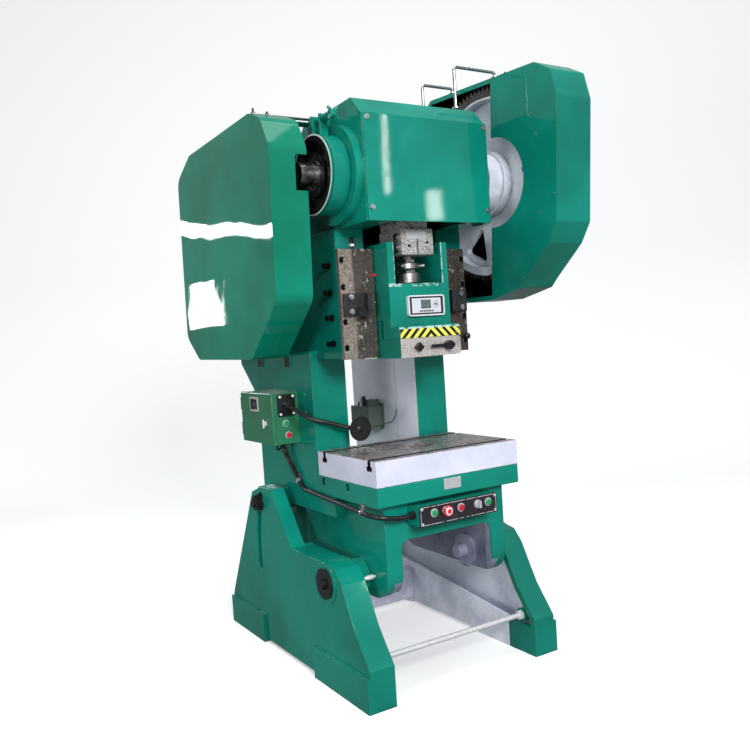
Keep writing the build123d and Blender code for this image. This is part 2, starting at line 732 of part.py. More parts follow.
with BuildPart() as pinion:
    first = mesh_angle + math.pi + math.pi / pinion_teeth
    prism_x(gear_points((countershaft_y, countershaft_z), pinion_teeth, first), gear_inner - 4, gear_outer + 2)
    bar_x(countershaft_y, countershaft_z, pinion_radius - 16, gear_inner - 60, gear_inner)
    bar_x(countershaft_y, countershaft_z, shaft_radius, gear_inner - 65, gear_outer + 5, Mode.SUBTRACT)
keep(pinion, "pinion")

groove_half = belt_width / 2 + groove_play
wheel_centre_x = -flywheel_inner - flywheel_width / 2
belt_xs = [wheel_centre_x + (index - (belt_count - 1) / 2) * belt_pitch for index in range(belt_count)]


def cut_grooves(y, z, rim_radius):
    """V grooves for the belts in the rim of a wheel."""
    for x in belt_xs:
        with BuildSketch(Plane(origin=(0, y, z), x_dir=(1, 0, 0), z_dir=(0, -1, 0))) as section:
            with BuildLine():
                Polyline((x - groove_half - 0.6, rim_radius + 2), (x + groove_half + 0.6, rim_radius + 2),
                         (x + groove_half - 3.6, rim_radius - belt_depth - 3),
                         (x - groove_half + 3.6, rim_radius - belt_depth - 3), close=True)
            make_face()
        revolve(section.sketch, axis=Axis((0, y, z), (1, 0, 0)), mode=Mode.SUBTRACT)


flywheel_radius = flywheel_diameter / 2
pulley_radius = motor_pulley_diameter / 2
with BuildPart() as flywheel:
    bar_x(countershaft_y, countershaft_z, flywheel_radius, -flywheel_inner - flywheel_width, -flywheel_inner)
    for x in (-flywheel_inner - flywheel_width, -flywheel_inner):
        bar_x(countershaft_y, countershaft_z, flywheel_radius - 62, x - 34, x + 34, Mode.SUBTRACT)
    bar_x(countershaft_y, countershaft_z, 74, -flywheel_inner - flywheel_width + 4, -flywheel_inner + 30)
    for arm in range(6):
        angle = math.pi * (arm + 0.5) / 3
        bar_x(countershaft_y + 175 * math.cos(angle), countershaft_z + 175 * math.sin(angle), 46,
              -flywheel_inner - flywheel_width - 1, -flywheel_inner + 1, Mode.SUBTRACT)
    cut_grooves(countershaft_y, countershaft_z, flywheel_radius)
    bar_x(countershaft_y, countershaft_z, shaft_radius, -flywheel_inner - flywheel_width - 5, -flywheel_inner + 40,
          Mode.SUBTRACT)
keep(flywheel, "flywheel")

# Shaft of the motor with its pulley
with BuildPart() as motor_pulley:
    bar_x(motor_y, motor_z, pulley_radius, -flywheel_inner - flywheel_width + 4, -flywheel_inner - 4)
    bar_x(motor_y, motor_z, 36, -flywheel_inner - 5, -flywheel_inner + 14)
    cut_grooves(motor_y, motor_z, pulley_radius)
    bar_x(motor_y, motor_z, motor_shaft_diameter / 2, -flywheel_inner - flywheel_width + 2,
          -motor_inner + motor_length - 20)
keep(motor_pulley, "motor_pulley")

# Belts over the flywheel and the motor pulley
belt_y = motor_y - countershaft_y
belt_z = motor_z - countershaft_z
belt_length = math.hypot(belt_y, belt_z)
belt_heading = math.degrees(math.atan2(belt_z, belt_y))
big_radius = flywheel_radius - 1
small_radius = pulley_radius - 1
wrap = math.degrees(math.acos((big_radius - small_radius) / belt_length))
with BuildPart() as v_belts:
    for x in belt_xs:
        with BuildLine(Plane.YZ.offset(x)) as route:
            big_centre, small_centre = (countershaft_y, countershaft_z), (motor_y, motor_z)
            big_arc = CenterArc(big_centre, big_radius, belt_heading + wrap, 360 - 2 * wrap)
            small_arc = CenterArc(small_centre, small_radius, belt_heading - wrap, 2 * wrap)
            Line(big_arc @ 1, small_arc @ 0)
            Line(small_arc @ 1, big_arc @ 0)
        top = big_arc @ 0
        outward = (top - Vector(x, countershaft_y, countershaft_z)).normalized()
        section_plane = Plane(origin=top, x_dir=(1, 0, 0), z_dir=outward.cross(Vector(1, 0, 0)))
        with BuildSketch(section_plane) as section:
            sign = 1 if section_plane.y_dir.dot(outward) > 0 else -1
            with BuildLine():
                Polyline((-belt_width / 2, 0), (belt_width / 2, 0), (belt_width / 2 - 3.4, -sign * belt_depth),
                         (-belt_width / 2 + 3.4, -sign * belt_depth), close=True)
            make_face()
        sweep(section.sketch, path=route.wire())
keep(v_belts, "v_belts")

# Motor with its feet, fins, fan cover and terminal box
motor_left = -motor_inner
motor_right = -motor_inner + motor_length
motor_foot_z = motor_z - motor_radius - 28
motor_feet = [(motor_left + 70, motor_y - 84), (motor_left + 70, motor_y + 84),
              (motor_right - 80, motor_y - 84), (motor_right - 80, motor_y + 84)]
with BuildPart() as motor:
    bar_x(motor_y, motor_z, motor_radius - 8, motor_left + 18, motor_right - 30)
    bar_x(motor_y, motor_z, motor_radius, motor_left + 6, motor_left + 28)
    bar_x(motor_y, motor_z, motor_radius - 30, motor_left, motor_left + 10)
    bar_x(motor_y, motor_z, motor_radius + 1, motor_right - 62, motor_right)
    for fin in range(28):
        with BuildSketch(Plane.YZ.offset(motor_left + 26)) as ribs:
            with Locations(Plane(origin=(motor_y, motor_z, 0)).location):
                with Locations(Rotation(0, 0, fin * 360 / 28)):
                    with Locations((motor_radius - 6, 0)):
                        Rectangle(12, 2.4)
        extrude(ribs.sketch, amount=motor_length - 86)
    block((motor_left + 40, motor_right - 66), (motor_y - 96, motor_y + 96), (motor_foot_z, motor_foot_z + 14))
    for y in (motor_y - 60, motor_y + 60):
        block((motor_left + 50, motor_right - 76), (y - 10, y + 10), (motor_foot_z, motor_z - 60))
    block((motor_left + 70, motor_left + 170), (motor_y - 45, motor_y + 45),
          (motor_z + 80, motor_z + motor_radius + 46))
    bar_x(motor_y, motor_z, motor_shaft_diameter / 2 + running_fit, motor_left - 5, motor_right - 12, Mode.SUBTRACT)
    for x, y in motor_feet:
        bar_z(x, y, 6.2, motor_foot_z - 5, motor_foot_z + 20, Mode.SUBTRACT)
keep(motor, "motor")

# Bracket that carries the motor on the rear of the left column
with BuildPart() as motor_base:
    block((-half, -gap_half), (column_rear, column_rear + 18), (990, column_top - 35))
    block((motor_left + 20, motor_right - 40), (column_rear, motor_y + 112), (motor_foot_z - 22, motor_foot_z))
    block((-half + 14, -half + 30), (column_rear, column_rear + 18), (990, motor_foot_z - 10))
    for x in (-half + 14, -gap_half - 30):
        prism_x([(column_rear + 10, 1010), (column_rear + 26, 1010), (motor_y + 108, motor_foot_z - 50),
                 (motor_y + 108, motor_foot_z - 10), (column_rear + 10, motor_foot_z - 10)], x, x + 16)
    for x, y in motor_feet:
        bar((x, y, motor_foot_z + 14), (0, 0, -1), 6, 50)
        bar((x, y, motor_foot_z + 14), (0, 0, 1), 10.4, 9, sides=6)
keep(motor_base, "motor_base")

# Guard of the belts: an outer sheet, a rim round it and three feet on the frame
belt_guard_side = [
    (-belt_guard_front + 56, belt_guard_top - 37),
    (-belt_guard_front + 145, belt_guard_top),
    (belt_guard_rear - 187, belt_guard_top - 10),
    (belt_guard_rear - 24, belt_guard_top - 86),
    (belt_guard_rear, belt_guard_bottom + 101),
    (belt_guard_rear - 133, belt_guard_bottom + 3),
    (-belt_guard_front + 267, belt_guard_bottom - 1),
    (-belt_guard_front + 151, belt_guard_bottom + 94),
    (-belt_guard_front + 24, belt_guard_bottom + 199),
    (-belt_guard_front, belt_guard_top - 143),
]
with BuildPart() as belt_guard:
    prism_x(belt_guard_side, -guard_reach, -belt_guard_inner, radius=guard_corner)
    prism_x(belt_guard_side, -guard_reach + guard_sheet, -belt_guard_inner - guard_sheet, Mode.SUBTRACT,
            guard_corner, guard_sheet)
    # Folded edge all round the open side, and a notch for the end of the crankshaft
    prism_x(belt_guard_side, -belt_guard_inner - guard_sheet - 1, -belt_guard_inner + 1, Mode.SUBTRACT,
            guard_corner, 18)
    block((-belt_guard_inner - notch_depth, -belt_guard_inner + 5), (-belt_guard_front - 30, -belt_guard_front + 30),
          (crank_z - notch_height / 2, crank_z + notch_height / 2), Mode.SUBTRACT)
    for y, z in belt_guard_feet:
        seat_x = head_half if z > head_bottom else half
        sheet_z = belt_guard_top - 6 if z > head_bottom else belt_guard_bottom
        block((-belt_guard_inner - 30, -seat_x), (y - 25, y + 25), (sheet_z, sheet_z + 5))
        block((-seat_x - 5, -seat_x), (y - 25, y + 25), (z - 16, sheet_z + 5))
keep(belt_guard, "belt_guard")

# Guard of the gears: outer sheet, rim, a cut-out front plate and a foot on the head
gear_guard_side = [
    (-gear_guard_front + 105, gear_guard_peak - 35),
    (gear_guard_rear - 222, gear_guard_peak),
    (gear_guard_rear - 100, gear_guard_peak - 93),
    (gear_guard_rear - 20, gear_guard_peak - 263),
    (gear_guard_rear, gear_guard_peak - 443),
    (gear_guard_rear, gear_guard_bottom + 191),
    (gear_guard_rear - 70, gear_guard_bottom + 101),
    (gear_guard_rear - 220, gear_guard_bottom + 21),
    (gear_guard_rear - 381, gear_guard_bottom),
    (-gear_guard_front + 415, gear_guard_bottom),
    (-gear_guard_front + 246, gear_guard_bottom + 35),
    (-gear_guard_front + 215, gear_guard_bottom + 66),
    (-gear_guard_front + 78, gear_guard_bottom + 185),
    (-gear_guard_front + 32, gear_guard_bottom + 257),
    (-gear_guard_front, gear_guard_peak - 179),
    (-gear_guard_front + 27, gear_guard_peak - 80),
]
plate_back_top, plate_back_bottom = -98.0, -34.0
with BuildPart() as gear_guard:
    prism_x(gear_guard_side, gear_guard_inner, guard_reach, radius=16)
    prism_x(gear_guard_side, gear_guard_inner + guard_sheet, guard_reach - guard_sheet, Mode.SUBTRACT, 16,
            guard_sheet)
    # The plate on the inner side ends in front of the shaft, with a half-round cut-out
    with BuildSketch(Plane.YZ.offset(gear_guard_inner)) as opening:
        with BuildLine():
            Polyline(*gear_guard_side, close=True)
        make_face()
        offset(amount=-18)
        with BuildLine():
            Polyline((plate_back_top, gear_guard_peak + 10), (gear_guard_rear + 10, gear_guard_peak + 10),
                     (gear_guard_rear + 10, gear_guard_bottom - 10), (plate_back_bottom, gear_guard_bottom - 10),
                     close=True)
        make_face(mode=Mode.INTERSECT)
        with Locations((-80, crank_z - 10)):
            Circle(172)
    extrude(opening.sketch, amount=guard_sheet, mode=Mode.SUBTRACT)
    # Feet on the side of the guide zone
    block((guide_half, gear_guard_inner + 40), (106, 166), (gear_guard_bottom, gear_guard_bottom + 5))
    block((guide_half, guide_half + 5), (106, 166), (gear_guard_bottom - 40, gear_guard_bottom + 5))
    block((guide_half, gear_guard_inner + 40), (gear_guard_rear - 5, gear_guard_rear), (1570, 1630))
    block((guide_half, guide_half + 5), (gear_guard_rear - 45, gear_guard_rear), (1570, 1630))
keep(gear_guard, "gear_guard")

# Two bars that carry the top of the gear guard from the head
bar_radius = guard_bar_diameter / 2
with BuildPart() as gear_guard_bars:
    for y, x in guard_bars:
        slope = (y - (-head_front + head_slope)) / (head_flat_end + head_front - head_slope)
        seat_z = head_top - head_fall * slope
        run = gear_guard_rear - 222 + gear_guard_front - 105
        guard_z = gear_guard_peak - 35 + 35 * (y + gear_guard_front - 105) / run
        seat_z, guard_z = seat_z + 1, guard_z + 1
        bar_z(x, y, bar_radius + 8, seat_z, seat_z + 6)
        bar_z(gear_guard_inner + 22, y, bar_radius + 8, guard_z, guard_z + 6)
        with BuildLine() as bend:
            FilletPolyline((x, y, seat_z), (x, y, guard_z + 22), (gear_guard_inner + 22, y, guard_z + 22),
                           (gear_guard_inner + 22, y, guard_z), radius=14)
        with BuildSketch(Plane(origin=(x, y, seat_z), z_dir=(0, 0, 1))) as section:
            Circle(bar_radius)
        sweep(section.sketch, path=bend.wire())
keep(gear_guard_bars, "gear_guard_bars")


# Cast legs with a curved slot for the lock bolt
leg_side = [
    (-leg_front, 0),
    (-leg_front, leg_toe),
    (-leg_front + 85, leg_toe + 112),
    (-leg_front + 160, leg_saddle - 56),
    (-leg_front + 200, leg_saddle - 10),
    (-leg_front + 250, leg_saddle),
    (298, leg_saddle),
    (462, leg_top),
    (562, leg_top),
    (651, leg_top - 31),
    (leg_rear - 14, 150),
    (leg_rear, foot_height),
    (leg_rear, 0),
]


def arc_band(x_from, x_to, start, end, width, mode=Mode.ADD):
    """A band with round ends that follows the lock bolt's path round the pivot."""
    centre = (pivot_y, pivot_z)
    ends = [(pivot_y + lock_radius * math.cos(math.radians(angle)),
             pivot_z + lock_radius * math.sin(math.radians(angle)))
            for angle in (start, end)]
    with BuildSketch(Plane.YZ.offset(min(x_from, x_to))) as band:
        with BuildLine():
            CenterArc(centre, lock_radius + width / 2, start, end - start)
            CenterArc(ends[1], width / 2, end, 180)
            CenterArc(centre, lock_radius - width / 2, start, end - start)
            CenterArc(ends[0], width / 2, start - 180, 180)
        make_face()
    extrude(band.sketch, amount=abs(x_to - x_from), mode=mode)


def make_leg(side):
    """One leg, on the left for side -1 and on the right for side 1."""
    with BuildPart() as leg:
        prism_x(leg_side, side * leg_inner, side * leg_outer, radius=9)
        with BuildSketch(Plane.YZ.offset(min(side * leg_inner, side * (leg_outer - leg_plate)))) as inside:
            with BuildLine():
                Polyline(*leg_side, close=True)
            make_face()
            offset(amount=-leg_rim, kind=Kind.INTERSECTION)
        extrude(inside.sketch, amount=leg_outer - leg_plate - leg_inner, mode=Mode.SUBTRACT)
        # The upper part is thin, so that the frame and its conduit pass when they tilt
        block((side * (leg_inner - 5), side * leg_upper_inner), (298, leg_rear + 20), (leg_saddle + 4, leg_top + 20),
              Mode.SUBTRACT)
        # Base with its pads and ribs
        block((side * leg_inner, side * leg_outer), (-leg_front, leg_rear), (0, foot_plate + leg_relief))
        for y_from, y_to in ((-leg_front, -leg_front + front_foot_length), (leg_rear - rear_foot_length, leg_rear)):
            block((side * (leg_outer - 5), side * (leg_outer + foot_reach)), (y_from, y_to), (0, foot_height))
        block((side * (leg_inner - 5), side * (leg_outer + 20)),
              (-leg_front + front_foot_length, leg_rear - rear_foot_length), (-5, leg_relief), Mode.SUBTRACT)
        for y in (120.0, 330.0, 742.0):
            block((side * (leg_inner + 4), side * (leg_outer - 4)), (y, y + 18), (20, rail_front_top - 6))
        prism_x([(-leg_front + 10, leg_relief), (-leg_front + 10, rail_front_top), (rail_rear, rail_rear_top),
                 (rail_rear, leg_relief)], side * leg_inner, side * (leg_inner + rail_thick))
        bar_x(tie_rod_y, tie_rod_z, tie_boss_radius, side * leg_inner, side * (leg_outer - 4))
        bar_x(pivot_y, pivot_z, pivot_boss, side * leg_inner, side * (leg_outer + 4))
        slot_ends = (lock_angle - tilt_travel - slot_extra - slot_tail, lock_angle + slot_extra)
        arc_band(side * leg_upper_inner, side * (leg_outer - 4), *slot_ends, slot_width + 2 * slot_pad)
        arc_band(side * (leg_inner - 5), side * (leg_outer + 5), *slot_ends, slot_width, Mode.SUBTRACT)
        bar_x(pivot_y, pivot_z, pivot_diameter / 2 + 0.05, side * (leg_inner - 5), side * (leg_outer + 10),
              Mode.SUBTRACT)
        bar_x(tie_rod_y, tie_rod_z, tie_rod_diameter / 2 + 0.3, side * (leg_inner - 5),
              side * (leg_outer - tie_rod_end + 2), Mode.SUBTRACT)
        bar_x(275, 510, 9, side * (leg_inner - 5), side * (leg_outer + 5), Mode.SUBTRACT)
        for y in (anchor_front, anchor_rear):
            bar_z(side * anchor_x, y, anchor_diameter / 2, -5, foot_plate + leg_relief + 5, Mode.SUBTRACT)
        for y, z in beam_bolts:
            bar_x(y, z, 8.5, side * (leg_inner - 5), side * (leg_inner + rail_thick + 3), Mode.SUBTRACT)
    return leg


beam_bolts = [(cross_beam_y + cross_beam_depth / 2, cross_beam_bottom + 34),
              (cross_beam_y + cross_beam_depth / 2, cross_beam_bottom + cross_beam_height - 34)]
keep(make_leg(-1), "left_leg")
keep(make_leg(1), "right_leg")

# Channel between the rear feet
with BuildPart() as cross_beam:
    block((-leg_inner, leg_inner), (cross_beam_y, cross_beam_y + cross_beam_depth),
          (cross_beam_bottom, cross_beam_bottom + cross_beam_height))
    fillet(cross_beam.edges().filter_by(Axis.X), 6)
    block((-leg_inner + cross_beam_end, leg_inner - cross_beam_end),
          (cross_beam_y + cross_beam_wall, cross_beam_y + cross_beam_depth + 5),
          (cross_beam_bottom + cross_beam_wall, cross_beam_bottom + cross_beam_height - cross_beam_wall),
          Mode.SUBTRACT)
    for y, z in beam_bolts:
        bar_x(y, z, 8.2, -leg_inner - 5, leg_inner + 5, Mode.SUBTRACT)
keep(cross_beam, "cross_beam")

# Tie rod between the front feet, and the bolts and nuts of the legs
with BuildPart() as leg_fasteners:
    bar_x(tie_rod_y, tie_rod_z, tie_rod_diameter / 2, -leg_outer + tie_rod_end, leg_outer - tie_rod_end)
    for side in (-1, 1):
        bar((side * leg_inner, tie_rod_y, tie_rod_z), (-side, 0, 0), 19, 12, sides=6)
        for y, z in beam_bolts:
            fastener((side * (leg_inner - cross_beam_end), y, z), (-side, 0, 0), 24, 10, 16,
                     cross_beam_end + rail_thick + 17)
            bar((side * (leg_inner + rail_thick), y, z), (side, 0, 0), 24 / math.sqrt(3), 13, sides=6)
keep(leg_fasteners, "leg_fasteners")

# Pivot bolts between the legs and the frame
with BuildPart() as pivot_bolts:
    for side in (-1, 1):
        bar_x(pivot_y, pivot_z, pivot_diameter / 2, side * (leg_inner - 145), side * (leg_outer + 5))
        bar((side * (leg_outer + 4), pivot_y, pivot_z), (side, 0, 0), 56, 8)
        bar((side * (leg_outer + 12), pivot_y, pivot_z), (side, 0, 0), 20, 0.5 + foot_reach)
keep(pivot_bolts, "pivot_bolts")

with BuildPart() as lock_bolts:
    for side in (-1, 1):
        bar_x(lock_y, lock_z, lock_diameter / 2, side * (leg_upper_inner - 120), side * (leg_outer + 36))
        bar((side * (leg_outer + 0.3), lock_y, lock_z), (side, 0, 0), 36, 5)
        bar((side * (leg_outer + 5.3), lock_y, lock_z), (side, 0, 0), 31.5, 22, sides=6)
keep(lock_bolts, "lock_bolts")

# Connecting rod with its cap, shells and bolts
rod_half = rod_width / 2
shell_radius = journal_radius + 9.0
rod_lug = rod_eye_radius + 10
cap_bolts = [(x, y) for x in (-rod_half + 26, rod_half - 26) for y in (-rod_eye_radius + 5, rod_eye_radius - 5)]
clamp_spots = [rod_end_bottom + 27, rod_end_bottom + 66]
with BuildPart() as conrod:
    hull_x([(0, pin_z, rod_eye_radius), (0, rod_end_bottom + rod_end_height, 58)], -rod_half, rod_half)
    block((-rod_half, rod_half), (-rod_lug, rod_lug), (pin_z - 36, pin_z + 5))
    block((-70, 70), (-rod_end_front, 62), (rod_end_bottom, rod_end_bottom + rod_end_height))
    block((-rod_half - 10, rod_half + 10), (-rod_lug - 20, rod_lug + 20), (pin_z, pin_z + 200), Mode.SUBTRACT)
    for x, y in cap_bolts:
        bar_z(x, y, 17.5, pin_z - 110, pin_z - 36, Mode.SUBTRACT)
    bar_x(0, pin_z, shell_radius + 0.02, -rod_half - 5, rod_half + 5, Mode.SUBTRACT)
    bar_z(0, 0, screw_diameter / 2 + running_fit, rod_end_bottom - 5, rod_end_bottom + 170, Mode.SUBTRACT)
    block((-3, 3), (-rod_end_front - 5, 0), (rod_end_bottom - 5, rod_end_bottom + rod_end_height + 12), Mode.SUBTRACT)
    for z in clamp_spots:
        bar_x(-62, z, 9, -75, 75, Mode.SUBTRACT)
    for x, y in cap_bolts:
        bar_z(x, y, 9.1, pin_z - 37, pin_z + 5, Mode.SUBTRACT)
keep(conrod, "conrod")

with BuildPart() as conrod_cap:
    bar_x(0, pin_z, rod_eye_radius, -rod_half, rod_half)
    block((-rod_half, rod_half), (-rod_lug, rod_lug), (pin_z - 5, pin_z + 38))
    block((-rod_half - 10, rod_half + 10), (-rod_lug - 20, rod_lug + 20), (pin_z - 200, pin_z), Mode.SUBTRACT)
    for x, y in cap_bolts:
        bar_z(x, y, 17.5, pin_z + 38, pin_z + 110, Mode.SUBTRACT)
    bar_x(0, pin_z, shell_radius + 0.02, -rod_half - 5, rod_half + 5, Mode.SUBTRACT)
    for x, y in cap_bolts:
        bar_z(x, y, 9.1, pin_z - 5, pin_z + 45, Mode.SUBTRACT)
keep(conrod_cap, "conrod_cap")

with BuildPart() as rod_shells:
    bar_x(0, pin_z, shell_radius, -rod_half, rod_half)
    bar_x(0, pin_z, journal_radius + running_fit, -rod_half - 5, rod_half + 5, Mode.SUBTRACT)
    block((-rod_half - 5, rod_half + 5), (-100, 100), (pin_z - 0.1, pin_z + 0.1), Mode.SUBTRACT)
keep(rod_shells, "rod_shells")

with BuildPart() as conrod_bolts:
    for x, y in cap_bolts:
        bar_z(x, y, 9, pin_z - 52, pin_z + 54)
        bar((x, y, pin_z + 38), (0, 0, 1), 27 / math.sqrt(3), 14, sides=6)
        bar((x, y, pin_z - 36), (0, 0, -1), 27 / math.sqrt(3), 12, sides=6)
    for z in clamp_spots:
        bar_x(-62, z, 8.8, -84, 70)
        bar((-70, -62, z), (-1, 0, 0), 13, 13)
        bar((70, -62, z), (1, 0, 0), 14, 8)
keep(conrod_bolts, "conrod_bolts")

# Adjusting screw with its ball, hexagon and collar
with BuildPart() as adjusting_screw:
    with Locations((0, 0, ball_z)):
        Sphere(ball_radius)
    bar_z(0, 0, 23, ball_z, 1450)
    bar_z(0, 0, 52.5, 1447, 1483)
    chamfer(adjusting_screw.edges().filter_by(GeomType.CIRCLE).group_by(Axis.Z)[-1], 2)
    bar((0, 0, 1483), (0, 0, 1), 36, rod_end_bottom - 1483 - 12, sides=6)
    bar_z(0, 0, screw_diameter / 2, 1490, rod_end_bottom + 150)
keep(adjusting_screw, "adjusting_screw")

# Slide
ball_swing = crank_throw
ball_lift = 11.0
pocket_radius = ball_radius + 3
pocket_bottom = ball_z - ball_radius - ball_lift - 1
with BuildPart() as slide:
    block((-slide_half, slide_half), (-slide_front, slide_rear), (slide_bottom, slide_shelf))
    for side in (-1, 1):
        block((side * (slide_half - arm_width), side * slide_half), (-slide_front, slide_rear),
              (slide_bottom, slide_top))
    fillet(slide.edges().filter_by(Axis.Z), 3)
    block((-slide_half, slide_half), (-nose_front, 0), (clamp_top - 10, nose_top))
    chamfer(slide.edges().filter_by(Axis.X).group_by(Axis.Y)[0].sort_by(Axis.Z)[-1], 8)
    for side in (-1, 1):
        prism_z([(side * (slide_half - 5), ridge_y - ridge_height - 5), (side * (slide_half + ridge_height), ridge_y),
                 (side * (slide_half - 5), ridge_y + ridge_height + 5)], slide_bottom, gib_top - 1)
    # Space for the shank clamp, and the bore of the shank
    block((-slide_half - 5, slide_half + 5), (-nose_front - 5, -2), (slide_bottom - 5, clamp_top + 0.3),
          Mode.SUBTRACT)
    bar_z(0, 0, shank_diameter / 2, slide_bottom - 5, slide_bottom + shank_depth, Mode.SUBTRACT)
    # Slot for a knock-out bar
    block((-slide_half - 50, slide_half + 50), (-23.5, -8.5), (clamp_top + 0.3, 1310), Mode.SUBTRACT)
    # Pocket of the ball with room for its swing, and a recess for the crush plate
    for radius, z_from, z_to in ((pocket_radius, pocket_bottom, slide_shelf + 5), (60, 1434, slide_shelf + 5)):
        with BuildSketch(Plane.XY.offset(z_from)) as swing:
            for y in (0, ball_swing):
                with Locations((0, y)):
                    Circle(radius)
            make_hull()
        extrude(swing.sketch, amount=z_to - z_from, mode=Mode.SUBTRACT)
    bar_z(0, 0, 36, pocket_bottom - 12, pocket_bottom + 5, Mode.SUBTRACT)
    for x in (-61, 70):
        bar_y(x, 1208, 8.2, -5, 40, Mode.SUBTRACT)
keep(slide, "slide")

with BuildPart() as crush_plate:
    bar_z(0, 0, 35.8, pocket_bottom - 12, pocket_bottom - 1)
keep(crush_plate, "crush_plate")

# Block that clamps the shank of an upper die, and its screws
with BuildPart() as shank_clamp:
    block((-slide_half, slide_half), (-nose_front, -2.5), (slide_bottom, clamp_top))
    fillet(shank_clamp.edges().filter_by(Axis.Y).sort_by(Axis.X)[-2:], 14)
    bar_z(0, 0, shank_diameter / 2, slide_bottom - 5, clamp_top + 5, Mode.SUBTRACT)
    for x in (-61, 70):
        bar_y(x, 1208, 8.2, -nose_front - 5, 5, Mode.SUBTRACT)
keep(shank_clamp, "shank_clamp")

with BuildPart() as clamp_screws:
    for x in (-61, 70):
        bar_y(x, 1208, 8, -nose_front - 4, 36)
    bar((-61, -nose_front, 1208), (0, -1, 0), 17, 18, sides=4)
    bar((70, -nose_front, 1208), (0, -1, 0), 17, 26, sides=6)
    bar_x(-nose_front - 16, 1208, 6, -9, 92)
keep(clamp_screws, "clamp_screws")

# Hazard strip on the nose of the slide, and the counter on its front
with BuildPart() as hazard_strip:
    block((-slide_half + 1, slide_half - 1), (-nose_front - 1.5, -nose_front), (clamp_top + 1, clamp_top + 34))
keep(hazard_strip, "hazard_strip")

with BuildPart() as stroke_counter:
    block((-64, 98), (-slide_front - 14, -slide_front), (1320, 1396))
    fillet(stroke_counter.edges().filter_by(Axis.Y), 10)
    with BuildSketch(Plane.XZ.offset(slide_front + 14)) as window:
        with Locations((17, 1358)):
            RectangleRounded(162 - 12, 76 - 12, 6)
    extrude(window.sketch, amount=-2.5, mode=Mode.SUBTRACT)
keep(stroke_counter, "stroke_counter")

# Electrical cabinet on the left column, with its door
hinge_x, hinge_y = -cabinet_reach - door_thick / 2, cabinet_rear + 6
knuckle_ends = [cabinet_bottom + 22, cabinet_bottom + 48, cabinet_bottom + 74]
knuckle_tops = [cabinet_top - 22, cabinet_top - 48, cabinet_top - 74]
lamp_plate_x, lamp_plate_z = -369.0, 1009.0
cabinet_buttons = [(-374.0, 937.0, "cabinet_start_button"), (-365.0, 890.0, "cabinet_stop_button")]
with BuildPart() as cabinet:
    block((-cabinet_reach, -half), (cabinet_front, cabinet_rear), (cabinet_bottom, cabinet_top))
    fillet(cabinet.edges().filter_by(Axis.Y), 4)
    block((-cabinet_reach - 5, -half - cabinet_wall), (cabinet_front + cabinet_wall, cabinet_rear - cabinet_wall),
          (cabinet_bottom + cabinet_wall, cabinet_top - cabinet_wall), Mode.SUBTRACT)
    for ends in (knuckle_ends, knuckle_tops):
        bar_z(hinge_x, hinge_y, 5.5, ends[0], ends[1])
        block((hinge_x, -cabinet_reach + 12), (cabinet_rear, hinge_y + 3), (ends[0], ends[1]))
    # Switchgear inside
    for y, depth, height in ((cabinet_front + 50, 60, 74), (cabinet_front + 130, 66, 84),
                             (cabinet_front + 205, 52, 60)):
        block((-half - cabinet_wall - depth, -half - cabinet_wall + 1), (y - 27, y + 27),
              (cabinet_bottom + 66, cabinet_bottom + 66 + height))
    block((-half - 20, -half - cabinet_wall + 1), (cabinet_front + 14, cabinet_rear - 14),
          (cabinet_bottom + 94, cabinet_bottom + 130))
    for x, z, _ in cabinet_buttons:
        bar_y(x, z, 7.3, cabinet_front - 5, cabinet_front + 10, Mode.SUBTRACT)
        bar_y(x, z, 14, cabinet_front - 3, cabinet_front + 1)
        bar_y(x, z, 11.4, cabinet_front - 5, cabinet_front, Mode.SUBTRACT)
        bar_y(x, z, 7.3, cabinet_front - 5, cabinet_front + 10, Mode.SUBTRACT)
keep(cabinet, "electric_cabinet")

with BuildPart() as cabinet_door:
    block((-cabinet_reach - door_thick, -cabinet_reach - 0.4), (cabinet_front - 2, cabinet_rear - 1),
          (cabinet_bottom - 2, cabinet_top + 2))
    fillet(cabinet_door.faces().sort_by(Axis.X)[0].edges(), 4)
    block((-cabinet_reach - door_thick + 3, -cabinet_reach + 1), (cabinet_front + 5, cabinet_rear - 8),
          (cabinet_bottom + 6, cabinet_top - 6), Mode.SUBTRACT)
    for ends in (knuckle_ends, knuckle_tops):
        low, high = sorted((ends[1], ends[2]))
        bar_z(hinge_x, hinge_y, 5.5, low + 0.4, high)
        block((hinge_x - 3, hinge_x + 3), (cabinet_rear - 3, hinge_y), (low + 0.4, high))
    # Latch, and the frame of the window of the cut-off switch
    bar_x(cabinet_front + 64, cabinet_bottom + 82, 11, -cabinet_reach - door_thick - 9,
          -cabinet_reach - door_thick + 1)
    block((-cabinet_reach - door_thick - 14, -cabinet_reach - door_thick - 8),
          (cabinet_front + 60, cabinet_front + 68), (cabinet_bottom + 65, cabinet_bottom + 99))
    block((-cabinet_reach - door_thick - 5, -cabinet_reach - door_thick + 1),
          (cabinet_front + 122, cabinet_front + 201), (cabinet_bottom + 127, cabinet_bottom + 185))
    block((-cabinet_reach - door_thick - 6, -cabinet_reach - door_thick - 2.5),
          (cabinet_front + 130, cabinet_front + 193), (cabinet_bottom + 135, cabinet_bottom + 177), Mode.SUBTRACT)
keep(cabinet_door, "cabinet_door")

button_travel = 5.0
for x, z, name in cabinet_buttons:
    with BuildPart() as button:
        bar_y(x, z, 11, cabinet_front - 10, cabinet_front + 0.5 - button_travel)
        fillet(button.edges().filter_by(GeomType.CIRCLE).group_by(Axis.Y)[0], 2)
        bar_y(x, z, 7, cabinet_front - 4, cabinet_front + 16)
    keep(button, name)

